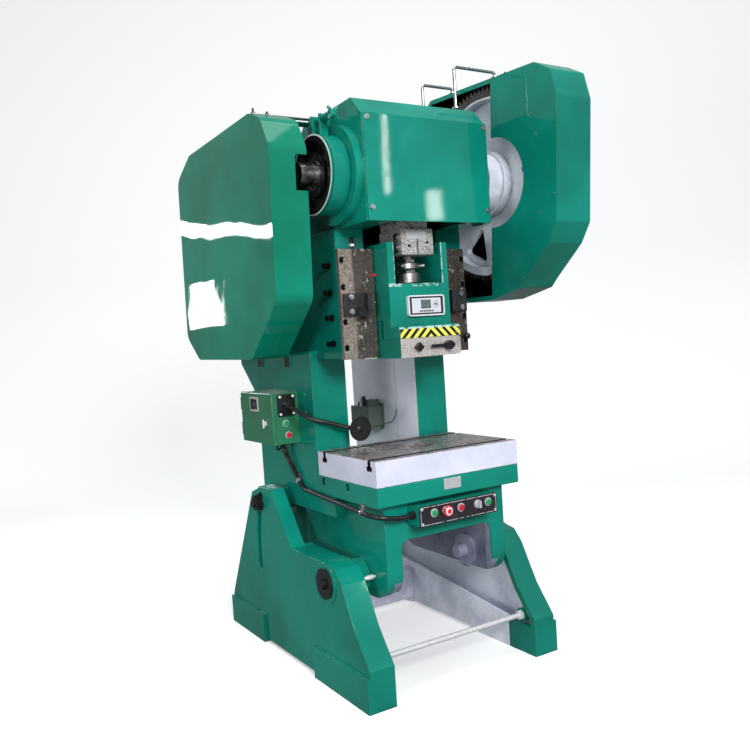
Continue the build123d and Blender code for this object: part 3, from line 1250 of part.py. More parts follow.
# Lamp on a bendable arm: square base on the cabinet, arm and head
lamp_route = [(-369.0, cabinet_front - 8, 1008.0), (-366.0, 320.0, 1002.0), (-353.0, 262.0, 979.0),
              (-326.0, 217.0, 955.0), (-290.0, 201.0, 943.0), (-240.0, 190.0, 927.0), (-200.0, 180.0, 913.0),
              (-170.0, 172.0, 905.0)]
with BuildPart() as lamp_base:
    block((lamp_plate_x - 37, lamp_plate_x + 37), (cabinet_front - 8, cabinet_front),
          (lamp_plate_z - 43, lamp_plate_z + 43))
    fillet(lamp_base.edges().filter_by(Axis.Y), 6)
    for x in (-28, 28):
        for z in (-34, 34):
            bar_y(lamp_plate_x + x, lamp_plate_z + z, 5, cabinet_front - 11, cabinet_front - 7)
keep(lamp_base, "lamp_base")

lamp_z, lamp_y, lamp_x = 903.0, 170.0, -154.0
with BuildPart() as gooseneck:
    with BuildLine() as route:
        Spline(*lamp_route, tangents=((0, -1, 0), (1, -0.3, -0.25)))
    with BuildSketch(Plane(origin=route.line @ 0, z_dir=route.line % 0)) as section:
        Circle(8.5)
    sweep(section.sketch, path=route.wire())
    bar((lamp_plate_x, cabinet_front - 8, 1008.0), (0, -1, 0), 13, 16)
keep(gooseneck, "gooseneck")

with BuildPart() as lamp_head:
    with BuildSketch(Plane(origin=(lamp_x, lamp_y, lamp_z), x_dir=(1, 0, 0), z_dir=(0, 0, 1))) as profile:
        with BuildLine():
            Polyline((0, 34), (13, 34), (25, 22), (37, 2), (47, -14), (47, -19), (44.5, -19), (44.5, -15), (0, -15),
                     close=True)
        make_face()
    revolve(profile.sketch, axis=Axis((lamp_x, lamp_y, lamp_z), (0, 1, 0)))
    with Locations((lamp_x, lamp_y + 1, lamp_z)):
        Sphere(21)
    bar_y(lamp_x, lamp_z, 50, lamp_y - 60, lamp_y - 19, Mode.SUBTRACT)
    with BuildSketch(Plane(origin=lamp_route[-1], z_dir=Vector(1, -0.3, -0.25))) as socket:
        Circle(11)
    extrude(socket.sketch, amount=12, both=True)
    add(gooseneck.part, mode=Mode.SUBTRACT)
keep(lamp_head, "lamp_head")

# Conduit from the cabinet along the side of the bed to the control box
gland_x, gland_y = -338.0, cabinet_front + 120
route_x = -half - 2 - conduit_diameter / 2
route_y = -control_front + 34
bend = (route_x, cabinet_front - 17, bed_top - 68)
corner = (route_x, route_y, control_bottom + 52)
drop = (route_x - 6, gland_y - 4, cabinet_bottom - 52)
conduit_end = (-control_length / 2, route_y, control_bottom + 36)
conduit_start = (gland_x, gland_y, cabinet_bottom)
loop_front, loop_rear = cabinet_front + 25, cabinet_front + 85
with BuildPart() as conduit:
    with BuildLine() as route:
        FilletPolyline(conduit_start, (gland_x, gland_y, cabinet_bottom - 26), drop, bend, corner,
                       (-control_length / 2 - 66, route_y, control_bottom + 36), conduit_end,
                       radius=(40, 60, 70, 55, 60))
    with BuildSketch(Plane(origin=route.line @ 0, z_dir=route.line % 0)) as section:
        Circle(conduit_diameter / 2)
    sweep(section.sketch, path=route.wire())
    bar((gland_x, gland_y, cabinet_bottom), (0, 0, -1), 15, 14, sides=6)
    bar(conduit_end, (-1, 0, 0), 15, 16, sides=6)
    # Loop of thin cable below the cabinet
    with BuildLine() as loop:
        FilletPolyline((-408, loop_front, cabinet_bottom), (-408, loop_front, cabinet_bottom - 28),
                       (-352, loop_rear, cabinet_bottom - 14), (-352, loop_rear, cabinet_bottom), radius=(20, 9))
    with BuildSketch(Plane(origin=loop.line @ 0, z_dir=loop.line % 0)) as thin:
        Circle(4)
    sweep(thin.sketch, path=loop.wire())
keep(conduit, "conduit")

# Clips that hold the conduit to the column and to the bed
with BuildPart() as conduit_clips:
    for start, end, share, rise in ((drop, bend, 0.78, 0.0), (bend, corner, 0.83, 0.0)):
        run = Vector(*end) - Vector(*start)
        along = run.normalized()
        spot = Vector(*start) + run * share
        bar(tuple(spot - along * 7), tuple(along), conduit_diameter / 2 + 3, 14)
        block((-half - 9, -half), (spot.Y - 7, spot.Y + 7), (spot.Z + 6, spot.Z + 30))
        bar((-half - 9, spot.Y, spot.Z + 22), (-1, 0, 0), 5, 4)
        bar(tuple(spot - along * 30), tuple(along), conduit_diameter / 2 + 0.05, 60, Mode.SUBTRACT)
keep(conduit_clips, "conduit_clips")

# Control box under the bed, its panel and its buttons
control_z = (control_bottom + control_top) / 2 + 7
panel_face = -control_front - panel_thick
push_buttons = [(-111.0, "left_start_button"), (6.0, "stop_button"), (130.0, "right_start_button")]
stop_x, selector_x = -61.0, 82.0
control_xs = [x for x, _ in push_buttons] + [stop_x, selector_x]
with BuildPart() as control_box:
    block((-control_length / 2, control_length / 2), (-control_front, -lower_front), (control_bottom, control_top))
    block((-control_length / 2 + 3, control_length / 2 - 3), (-control_front - 5, -lower_front - 4),
          (control_bottom + 3, control_top - 3), Mode.SUBTRACT)
keep(control_box, "control_box")

with BuildPart() as control_panel:
    block((-control_length / 2 - 2, control_length / 2 + 2), (panel_face, -control_front),
          (control_bottom - 2, control_top + 2))
    fillet(control_panel.edges().filter_by(Axis.Y), 5)
    for x in control_xs:
        bar_y(x, control_z, button_radius, panel_face - 3, panel_face)
        bar_y(x, control_z, button_radius - 3.6, panel_face - 5, panel_face + 2, Mode.SUBTRACT)
        bar_y(x, control_z, 8.3, panel_face - 5, -control_front + 5, Mode.SUBTRACT)
    for x in (-control_length / 2 + 8, control_length / 2 - 8):
        for z in (control_bottom + 8, control_top - 8):
            bar_y(x, z, 4.5, panel_face - 2.5, panel_face + 1)
keep(control_panel, "control_panel")

for x, name in push_buttons:
    with BuildPart() as button:
        bar_y(x, control_z, button_radius - 4, panel_face - 10, panel_face + 1.5 - button_travel)
        fillet(button.edges().filter_by(GeomType.CIRCLE).group_by(Axis.Y)[0], 2.5)
        bar_y(x, control_z, 8, panel_face - 5, panel_face + 30)
    keep(button, name)

with BuildPart() as emergency_stop:
    with BuildSketch(Plane(origin=(stop_x, 0, control_z), x_dir=(1, 0, 0), z_dir=(0, 0, 1))) as mushroom:
        with BuildLine():
            Polyline((0, panel_face - 24), (12, panel_face - 23), (18, panel_face - 20), (20, panel_face - 15),
                     (17, panel_face - 11), (11, panel_face - 9), (11, panel_face - 6), (8, panel_face - 6),
                     (8, panel_face + 30), (0, panel_face + 30), close=True)
        make_face()
    revolve(mushroom.sketch, axis=Axis((stop_x, 0, control_z), (0, 1, 0)))
keep(emergency_stop, "emergency_stop")

with BuildPart() as mode_switch:
    bar_y(selector_x, control_z, button_radius - 4, panel_face - 9, panel_face - 1)
    block((selector_x - 4, selector_x + 4), (panel_face - 20, panel_face - 8), (control_z - 13, control_z + 13))
    bar_y(selector_x, control_z, 8, panel_face - 5, panel_face + 30)
keep(mode_switch, "mode_switch")

# Lubricator on the inner wall of the right column
pump_front, pump_bottom = 490.0, 842.0
with BuildPart() as lubricator:
    block((gap_half - 78, gap_half - 8), (pump_front, pump_front + 150), (pump_bottom + 16, pump_bottom + 108))
    fillet(lubricator.edges().filter_by(Axis.X), 8)
    block((gap_half - 70, gap_half - 14), (pump_front + 12, pump_front + 84), (pump_bottom + 100, pump_bottom + 136))
    block((gap_half - 8, gap_half), (pump_front - 6, pump_front + 156), (pump_bottom + 8, pump_bottom + 116))
    bar_z(gap_half - 42, pump_front + 118, 15, pump_bottom + 100, pump_bottom + 122)
    for y in (pump_front + 20, pump_front + 130):
        block((gap_half - 70, gap_half), (y - 10, y + 10), (pump_bottom, pump_bottom + 18))
    for y in (pump_front + 40, pump_front + 60):
        bar_x(y, pump_bottom + 60, 6, gap_half - 92, gap_half - 77)
keep(lubricator, "lubricator")

# Move the whole to its own origin, on the floor under the middle of its box, and write the pieces
boxes = [piece.bounding_box() for piece in pieces.values()]
middle_x = (min(box.min.X for box in boxes) + max(box.max.X for box in boxes)) / 2
middle_y = (min(box.min.Y for box in boxes) + max(box.max.Y for box in boxes)) / 2
floor_z = min(box.min.Z for box in boxes)
os.makedirs("parts", exist_ok=True)
for name, piece in pieces.items():
    placed = piece.moved(Location((-middle_x, -middle_y, -floor_z)))
    placed.label = name
    export_step(placed, f"parts/{name}.step")
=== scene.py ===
import math

import bmesh
import bpy
from mathutils import Matrix, Quaternion, Vector


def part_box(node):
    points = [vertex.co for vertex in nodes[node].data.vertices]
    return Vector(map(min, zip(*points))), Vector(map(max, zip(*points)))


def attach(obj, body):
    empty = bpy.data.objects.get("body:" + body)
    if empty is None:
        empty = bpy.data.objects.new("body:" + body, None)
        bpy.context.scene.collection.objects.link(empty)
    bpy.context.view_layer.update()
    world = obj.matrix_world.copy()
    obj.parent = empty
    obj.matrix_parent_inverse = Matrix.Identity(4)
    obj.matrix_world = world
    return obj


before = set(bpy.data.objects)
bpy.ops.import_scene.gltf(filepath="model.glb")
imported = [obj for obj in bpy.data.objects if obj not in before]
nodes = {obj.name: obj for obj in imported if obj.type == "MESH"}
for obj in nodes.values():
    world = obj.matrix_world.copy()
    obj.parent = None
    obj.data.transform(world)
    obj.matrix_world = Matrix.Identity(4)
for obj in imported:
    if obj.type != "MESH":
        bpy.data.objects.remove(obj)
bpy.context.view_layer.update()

scene = bpy.context.scene
# Lengths in the materials are in metres, with y counted from the press's own centre of the column.
SHIFT_Y = 0.2540786
CRANK_AXIS = (0.0, 1.833)
BELT_GUARD_AXIS = (0.30, 1.62)
CABINET_FRONT, WINDOW_START, WINDOW_WIDTH = 0.355, 0.122, 0.079
HAZARD_STEP = 0.0340
EMERGENCY_X = -0.061
EMERGENCY_Z = sum(corner[2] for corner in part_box("emergency_stop")) / 2
ARM_FACE = (-0.084, -0.0815)
LEG_RAIL = (0.30, 0.3935)


def at(x, y, z):
    """A point of the press in millimetres, brought into the row frame."""
    return Vector((x / 1000, y / 1000 - SHIFT_Y, z / 1000))


def linear(red, green, blue):
    """A colour given as it is seen on a screen, from 0 to 255."""
    values = []
    for level in (red, green, blue):
        share = level / 255
        values.append(share / 12.92 if share <= 0.04045 else ((share + 0.055) / 1.055) ** 2.4)
    return (*values, 1.0)


# ---------------------------------------------------------------- material graphs
class Graph:
    """A material made of nodes, with short names for the ones used here."""

    def __init__(self, name, **settings):
        self.material = bpy.data.materials.new(name)
        self.material.use_nodes = True
        self.tree = self.material.node_tree
        self.tree.nodes.clear()
        output = self.tree.nodes.new("ShaderNodeOutputMaterial")
        self.shader = self.tree.nodes.new("ShaderNodeBsdfPrincipled")
        self.tree.links.new(self.shader.outputs["BSDF"], output.inputs["Surface"])
        self.place = self.tree.nodes.new("ShaderNodeTexCoord").outputs["Object"]
        self.split = self.tree.nodes.new("ShaderNodeSeparateXYZ")
        self.tree.links.new(self.place, self.split.inputs[0])
        self.x, self.y, self.z = self.split.outputs
        for socket, value in settings.items():
            self.shader.inputs[socket.replace("_", " ")].default_value = value

    def put(self, source, socket):
        if hasattr(source, "is_output"):
            self.tree.links.new(source, socket)
        else:
            socket.default_value = source

    def noise(self, scale, detail=3.0, roughness=0.55, stretch=None, distortion=0.0):
        node = self.tree.nodes.new("ShaderNodeTexNoise")
        node.inputs["Scale"].default_value = scale
        node.inputs["Detail"].default_value = detail
        node.inputs["Roughness"].default_value = roughness
        node.inputs["Distortion"].default_value = distortion
        source = self.place
        if stretch:
            mapping = self.tree.nodes.new("ShaderNodeMapping")
            mapping.inputs["Scale"].default_value = stretch
            self.tree.links.new(self.place, mapping.inputs["Vector"])
            source = mapping.outputs[0]
        self.tree.links.new(source, node.inputs["Vector"])
        return node.outputs["Fac"]

    def calc(self, operation, first, second=0.0, third=None, clamp=False):
        node = self.tree.nodes.new("ShaderNodeMath")
        node.operation = operation
        node.use_clamp = clamp
        self.put(first, node.inputs[0])
        self.put(second, node.inputs[1])
        if third is not None:
            self.put(third, node.inputs[2])
        return node.outputs[0]

    def span(self, source, low, high, low_value=0.0, high_value=1.0):
        node = self.tree.nodes.new("ShaderNodeMapRange")
        node.interpolation_type = "SMOOTHSTEP"
        self.put(source, node.inputs["Value"])
        limits = (("From Min", low), ("From Max", high), ("To Min", low_value), ("To Max", high_value))
        for socket, value in limits:
            node.inputs[socket].default_value = value
        return node.outputs["Result"]

    def inside(self, source, low, high, soft=0.0006):
        """1 where low < source < high, and 0 elsewhere."""
        above = self.span(source, low - soft, low + soft)
        return self.calc("MULTIPLY", above, self.below(source, high - soft, high + soft))

    def inside_y(self, low, high, soft=0.0006):
        """As inside, for y in the press's own frame."""
        return self.inside(self.y, low - SHIFT_Y, high - SHIFT_Y, soft)

    def behind(self, start, end):
        """0 in front of start and 1 behind end, for y in the press's own frame."""
        return self.span(self.y, start - SHIFT_Y, end - SHIFT_Y)

    def before(self, start, end):
        """1 in front of start and 0 behind end, for y in the press's own frame."""
        return self.below(self.y, start - SHIFT_Y, end - SHIFT_Y)

    def below(self, source, low, high):
        """1 below low, falling to 0 at high."""
        return self.span(source, low, high, 1.0, 0.0)

    def width(self):
        """The distance from the press's middle, to either side."""
        return self.calc("ABSOLUTE", self.x)

    def invert(self, mask):
        return self.calc("SUBTRACT", 1.0, mask)

    def both(self, *masks):
        result = masks[0]
        for mask in masks[1:]:
            result = self.calc("MULTIPLY", result, mask)
        return result

    def either(self, *masks):
        result = masks[0]
        for mask in masks[1:]:
            result = self.calc("MAXIMUM", result, mask)
        return result

    def mix(self, factor, first, second):
        node = self.tree.nodes.new("ShaderNodeMix")
        node.data_type = "RGBA"
        self.put(factor, node.inputs[0])
        self.put(first, node.inputs[6])
        self.put(second, node.inputs[7])
        return node.outputs[2]

    def fade(self, factor, first, second):
        """A number that goes from first to second as the factor goes from 0 to 1."""
        node = self.tree.nodes.new("ShaderNodeMix")
        node.data_type = "FLOAT"
        self.put(factor, node.inputs[0])
        self.put(first, node.inputs[2])
        self.put(second, node.inputs[3])
        return node.outputs[0]

    def shade(self, colour, source, low, high):
        """The colour made darker or lighter by a texture, between two brightness values."""
        node = self.tree.nodes.new("ShaderNodeHueSaturation")
        self.put(self.span(source, 0.3, 0.7, low, high), node.inputs["Value"])
        self.put(colour, node.inputs["Color"])
        return node.outputs["Color"]

    def bump(self, height, distance, strength=1.0, below=None):
        node = self.tree.nodes.new("ShaderNodeBump")
        node.inputs["Strength"].default_value = strength
        node.inputs["Distance"].default_value = distance
        self.put(height, node.inputs["Height"])
        if below is not None:
            self.tree.links.new(below, node.inputs["Normal"])
        return node.outputs["Normal"]

    def soft_edge(self, radius):
        node = self.tree.nodes.new("ShaderNodeBevel")
        node.samples = 4
        node.inputs["Radius"].default_value = radius
        return node.outputs["Normal"]

    def edge(self, radius, low=0.01, high=0.12):
        """1 along edges and 0 on open faces."""
        bevel = self.soft_edge(radius)
        geometry = self.tree.nodes.new("ShaderNodeNewGeometry")
        dot = self.tree.nodes.new("ShaderNodeVectorMath")
        dot.operation = "DOT_PRODUCT"
        self.tree.links.new(bevel, dot.inputs[0])
        self.tree.links.new(geometry.outputs["Normal"], dot.inputs[1])
        return self.span(self.invert(dot.outputs["Value"]), low, high)

    def length(self, across, up):
        total = self.calc("ADD", self.calc("MULTIPLY", across, across), self.calc("MULTIPLY", up, up))
        return self.calc("SQRT", total)

    def radius(self, y, z):
        """The distance from an axis along X, given by its y and z in the press's own frame."""
        return self.length(self.calc("SUBTRACT", self.y, y - SHIFT_Y), self.calc("SUBTRACT", self.z, z))

    def facing(self):
        """The direction that a face looks in, as the piece stands at rest."""
        geometry = self.tree.nodes.new("ShaderNodeNewGeometry")
        turned = self.tree.nodes.new("ShaderNodeVectorTransform")
        turned.vector_type, turned.convert_from, turned.convert_to = "NORMAL", "WORLD", "OBJECT"
        self.tree.links.new(geometry.outputs["True Normal"], turned.inputs[0])
        split = self.tree.nodes.new("ShaderNodeSeparateXYZ")
        self.tree.links.new(turned.outputs[0], split.inputs[0])
        return split.outputs

    def inward(self, y, z):
        """1 where a face looks towards an axis along X that is given as for radius."""
        faces = self.facing()
        across = self.calc("MULTIPLY", faces[1], self.calc("SUBTRACT", self.y, y - SHIFT_Y))
        up = self.calc("MULTIPLY", faces[2], self.calc("SUBTRACT", self.z, z))
        return self.below(self.calc("ADD", across, up), -0.03, -0.01)

    # Painted shade: 1 where ambient occlusion finds nearby surfaces, in corners, creases and recesses.
    def crevice_shade(self, reach=0.04):
        node = self.tree.nodes.new("ShaderNodeAmbientOcclusion")
        node.samples = 4
        node.inputs["Distance"].default_value = reach
        return self.below(node.outputs["AO"], 0.25, 0.85)

    def finish(self, colour, roughness, normal=None):
        self.put(colour, self.shader.inputs["Base Color"])
        self.put(roughness, self.shader.inputs["Roughness"])
        if normal is not None:
            self.tree.links.new(normal, self.shader.inputs["Normal"])
            if self.shader.inputs["Coat Weight"].default_value > 0:
                self.tree.links.new(normal, self.shader.inputs["Coat Normal"])
        return self.material


# ---------------------------------------------------------------- colours
GREEN = linear(14, 137, 119)
GREEN_DEEP = linear(8, 112, 96)
PRIMER = linear(205, 205, 214)
LAVENDER = linear(176, 178, 196)
WHITE_SIDE = linear(226, 228, 242)
CAST = linear(142, 134, 128)
CAST_DARK = linear(84, 78, 74)
STEEL = linear(168, 168, 170)
STEEL_DARK = linear(112, 111, 112)
BLACKENED = linear(34, 34, 37)
OIL = linear(46, 38, 30)
RUST = linear(104, 70, 46)


def enamel(name, surface, waves, chips, edge_radius, zones=None, colour=GREEN, deep=GREEN_DEEP, gloss=0.09):
    """Glossy enamel with chipped edges, and dirt and painted shade darkening its corners. Waves is the
    unevenness of a sheet.
    """
    graph = Graph(name, Coat_Weight=0.65, Coat_Roughness=gloss, Specular_IOR_Level=0.0)
    broad = graph.noise(1.7, 3, 0.55)
    tint = graph.mix(graph.span(broad, 0.35, 0.65), colour, deep)
    tint = graph.shade(tint, graph.noise(13, 4, 0.6), 0.96, 1.04)
    streak = graph.noise(6, 4, 0.6, stretch=(2.5, 2.5, 0.4))
    tint = graph.mix(graph.span(streak, 0.62, 0.85, 0.0, 0.10), tint, linear(40, 96, 84))
    # Dirt and painted shade: dark green, patchy, where the occlusion finds corners and recesses.
    dirt_and_shade = graph.both(graph.crevice_shade(), graph.span(graph.noise(24, 4), 0.35, 0.62))
    tint = graph.mix(graph.calc("MULTIPLY", dirt_and_shade, 0.50), tint, linear(16, 40, 34))
    chipped = graph.span(graph.noise(38, 5, 0.7), 0.70 - chips * 0.2, 0.78 - chips * 0.2)
    wear = graph.both(graph.edge(edge_radius), chipped)
    rough = graph.span(graph.noise(11, 3), 0.3, 0.7, 0.34, 0.44)
    if zones:
        tint, rough = zones(graph, tint, rough)
    tint = graph.mix(wear, tint, PRIMER)
    rough = graph.calc("ADD", rough, graph.calc("MULTIPLY", graph.either(wear, dirt_and_shade), 0.25))
    normal = graph.soft_edge(edge_radius)
    if waves:
        normal = graph.bump(graph.noise(2.7, 1, 0.4, stretch=(1, 1, 0.8)), waves, 1.0, normal)
    normal = graph.bump(graph.noise(7.5, 2, 0.5), surface, 0.8, normal)
    normal = graph.bump(graph.noise(150, 2, 0.5), 0.00008, 0.6, normal)
    normal = graph.bump(graph.invert(wear), 0.0004, 0.6, normal)
    return graph.finish(tint, rough, normal)


def casting_zones(graph, tint, rough):
    """The hollows of the body are light primer, darkened under the bed as painted shade, the inside of the
    head is dark green as painted shade, and the seats of the guides are bare.
    """
    width = graph.width()
    hollow = graph.both(graph.inside(width, -0.1, 0.2330), graph.inside(graph.z, 0.3235, 0.7015),
                        graph.behind(-0.1566, -0.1554))
    grime = graph.noise(6, 4, 0.6)
    # Painted shade: the light grey primer of the hollows under the bed, made darker.
    grey = graph.mix(graph.span(grime, 0.38, 0.72), linear(148, 152, 172), linear(104, 108, 130))
    tint = graph.mix(hollow, tint, grey)
    gap = graph.both(graph.inside(width, -0.1, 0.1656), graph.inside(graph.z, 0.7415, 1.1815),
                     graph.inside_y(0.2, 0.80))
    pale = graph.mix(graph.span(graph.noise(4, 4, 0.6), 0.35, 0.7),
                     linear(244, 243, 252), linear(226, 226, 238))
    front = graph.before(0.3775, 0.3785)
    pale = graph.mix(front, pale, linear(236, 237, 250))
    seam = graph.inside_y(0.3770, 0.3790, 0.0004)
    pale = graph.mix(seam, pale, linear(120, 122, 132))
    tint = graph.mix(gap, tint, pale)
    # Painted shade: the inside of the head in dark green.
    head_inside_shade = graph.both(graph.inside(width, -0.1, 0.2375), graph.inside(graph.z, 1.652, 1.99),
                       graph.behind(-0.1896, -0.1884))
    tint = graph.mix(head_inside_shade, tint, linear(14, 46, 40))
    seat = graph.both(graph.inside(graph.z, 1.183, 1.652), graph.inside(width, 0.134, 0.2835),
                      graph.inside_y(-0.012, 0.0135), graph.below(graph.facing()[1], -0.6, -0.4))
    iron = graph.mix(graph.span(graph.noise(70, 5, 0.7), 0.38, 0.62),
                     linear(176, 170, 164), linear(84, 76, 70))
    tint = graph.mix(seat, tint, iron)
    rough = graph.fade(graph.either(hollow, gap), rough, 0.55)
    return tint, rough


def leg_zones(graph, tint, rough):
    """The inside of the hollow leg is light primer, with its outer faces in green."""
    width = graph.width()
    faces = graph.facing()
    inward = graph.below(graph.calc("MULTIPLY", faces[0], graph.x), -0.12, -0.06)
    web = graph.both(inward, graph.inside(width, 0.38, 0.3945))
    outer_front = graph.both(graph.before(0.30, 0.31),
                             graph.below(faces[1], -0.25, -0.15))
    outer_rear = graph.both(graph.behind(0.50, 0.51), graph.span(faces[1], 0.15, 0.25))
    floor = graph.both(graph.inside(width, *LEG_RAIL), graph.inside(graph.z, 0.0, 0.30),
                       graph.inside_y(-0.10, 0.915),
                       graph.calc("SUBTRACT", 1.0, graph.either(outer_front, outer_rear)))
    front_rim = graph.both(graph.inside(width, *LEG_RAIL), graph.inside_y(-0.30, 0.30),
                           graph.span(faces[1], 0.15, 0.25))
    rear_rim = graph.both(graph.inside(width, *LEG_RAIL), graph.inside_y(0.50, 0.96),
                          graph.below(faces[1], -0.25, -0.15))
    inner = graph.either(web, floor, front_rim, rear_rim)
    grime = graph.noise(7, 4, 0.6)
    grey = graph.mix(graph.span(grime, 0.38, 0.70), linear(240, 244, 255), linear(208, 212, 230))
    return graph.mix(inner, tint, grey), graph.fade(inner, rough, 0.55)


def slide_zones(graph, tint, rough):
    """The rims of the slide's opening are rubbed through to bright metal, and carry a painted highlight in
    pale teal.
    """
    width = graph.width()
    arm = graph.both(graph.inside(width, 0.1005, 0.1085), graph.inside(graph.z, 1.440, 1.592),
                     graph.inside_y(*ARM_FACE))
    shelf = graph.both(graph.inside(graph.z, 1.430, 1.442), graph.inside_y(*ARM_FACE))
    step = graph.both(graph.inside(graph.z, 1.272, 1.2862), graph.inside_y(-0.136, -0.1300))
    ragged = graph.span(graph.noise(42, 5, 0.7), 0.44, 0.52)
    patchy = graph.span(graph.noise(20, 3), 0.5, 0.56)
    # Rubbed metal and painted highlight: pale teal along the rims of the opening.
    rubbed_and_highlight = graph.both(graph.either(arm, graph.both(shelf, patchy), step), ragged)
    return graph.mix(graph.calc("MULTIPLY", rubbed_and_highlight, 0.65), tint, linear(214, 232, 230)), rough


def drum_zones(graph, tint, rough):
    """The drum's open face and its inside are black, partly grease and partly painted shade, with a pale line
    round the rim.
    """
    radius = graph.radius(*CRANK_AXIS)
    face = graph.below(graph.x, -0.3712, -0.3702)
    inner = graph.both(graph.below(radius, 0.1300, 0.1310), graph.below(graph.x, -0.3, -0.299))
    rim = graph.both(face, graph.span(radius, 0.1345, 0.1355))
    # Grease and painted shade: the open face and the inside of the drum in black.
    tint = graph.mix(graph.either(face, inner), tint, linear(26, 24, 26))
    return graph.mix(rim, tint, linear(206, 214, 214)), rough


def gear_zones(graph, tint, rough):
    """The teeth and the rim near them carry dark grease, with painted shade that reaches further in towards
    the top.
    """
    radius = graph.radius(*CRANK_AXIS)
    ragged = graph.calc("ADD", radius, graph.calc("MULTIPLY", graph.noise(26, 3), 0.010))
    above = graph.calc("SUBTRACT", graph.z, CRANK_AXIS[1])
    # Painted shade: the dark band reaches further in above the axis.
    reach = graph.calc("ADD", ragged, graph.calc("MULTIPLY", above, 0.036))
    grease_and_shade = graph.span(reach, 0.3500, 0.3530)
    grease = graph.mix(graph.span(graph.noise(40, 4), 0.4, 0.62), linear(26, 22, 22), linear(58, 50, 48))
    return graph.mix(grease_and_shade, tint, grease), graph.fade(grease_and_shade, rough, 0.30)


def door_zones(graph, tint, rough):
    """Black glass in a grey frame, and a bright latch."""
    proud = graph.below(graph.x, -0.4322, -0.4316)
    low = CABINET_FRONT + WINDOW_START
    high = low + WINDOW_WIDTH
    rim = graph.both(proud, graph.inside_y(low - 0.002, high + 0.002), graph.inside(graph.z, 0.981, 1.043))
    glass = graph.both(proud, graph.inside_y(low + 0.0075, high - 0.0075),
                       graph.inside(graph.z, 0.9905, 1.0335))
    digits = graph.both(graph.inside_y(low + 0.022, high - 0.022), graph.inside(graph.z, 1.002, 1.022))
    latch = graph.both(proud, graph.below(graph.z, 0.974, 0.976))
    tint = graph.mix(rim, tint, linear(170, 178, 172))
    tint = graph.mix(glass, tint, linear(16, 16, 18))
    tint = graph.mix(graph.both(glass, digits), tint, linear(70, 58, 58))
    tint = graph.mix(latch, tint, linear(206, 208, 206))
    return tint, graph.fade(glass, rough, 0.10)


def cabinet_zones(graph, tint, rough):
    """Bright rings round the two buttons."""
    ring = graph.both(graph.before(0.3546, 0.3549),
                      graph.behind(0.3, 0.301))
    return graph.mix(ring, tint, linear(196, 204, 200)), graph.fade(ring, rough, 0.25)


def guard_inside_shade(graph, tint, rough, facing_in):
    """Near-black on the inside of a guard, as painted shade."""
    # Painted shade: near-black on the faces inside the guard.
    black = graph.shade(linear(20, 22, 24), graph.noise(30, 4, 0.6), 0.8, 1.25)
    return graph.mix(facing_in, tint, black), graph.fade(facing_in, rough, 0.6)


def belt_guard_zones(graph, tint, rough):
    """The inside of the belt guard is near-black, as painted shade."""
    faces = graph.facing()
    sheet = graph.both(graph.below(graph.x, -0.54, -0.53), graph.span(faces[0], 0.4, 0.6))
    fold = graph.both(graph.span(graph.x, -0.43, -0.42), graph.below(faces[0], -0.6, -0.4))
    rim = graph.both(graph.inward(*BELT_GUARD_AXIS), graph.inside(faces[0], -0.3, 0.3),
                     graph.inside(graph.x, -0.551, -0.411))
    return guard_inside_shade(graph, tint, rough, graph.either(sheet, fold, rim))


def gear_guard_zones(graph, tint, rough):
    """The inside of the gear guard is near-black, as painted shade."""
    faces = graph.facing()
    plate = graph.both(graph.below(graph.x, 0.40, 0.41), graph.span(faces[0], 0.4, 0.6))
    sheet = graph.both(graph.span(graph.x, 0.53, 0.54), graph.below(faces[0], -0.6, -0.4))
    rim = graph.both(graph.inward(*CRANK_AXIS), graph.inside(faces[0], -0.3, 0.3),
                     graph.inside(graph.x, 0.386, 0.548))
    return guard_inside_shade(graph, tint, rough, graph.either(plate, sheet, rim))


def primer(name, light, dark, rough=(0.38, 0.55), surface=0.0008, zones=None):
    """Sprayed grey paint over a casting, a little dusty and oily, with painted shade darkening its crevices.
    """
    graph = Graph(name, Coat_Weight=0.25, Coat_Roughness=0.15)
    tint = graph.mix(graph.span(graph.noise(6, 4, 0.6), 0.35, 0.7), light, dark)
    tint = graph.shade(tint, graph.noise(45, 4, 0.6), 0.9, 1.06)
    # Oil and painted shade: oil colour, patchy, where the occlusion finds crevices.
    dirt_and_shade = graph.both(graph.crevice_shade(0.03), graph.span(graph.noise(20, 4), 0.3, 0.6))
    tint = graph.mix(graph.calc("MULTIPLY", dirt_and_shade, 0.7), tint, OIL)
    gloss = graph.span(graph.noise(12, 3), 0.3, 0.7, *rough)
    if zones:
        tint, gloss = zones(graph, tint, gloss)
    normal = graph.bump(graph.noise(14, 3), surface, 0.9, graph.soft_edge(0.002))
    normal = graph.bump(graph.noise(160, 2), 0.0002, 0.8, normal)
    return graph.finish(tint, gloss, normal)


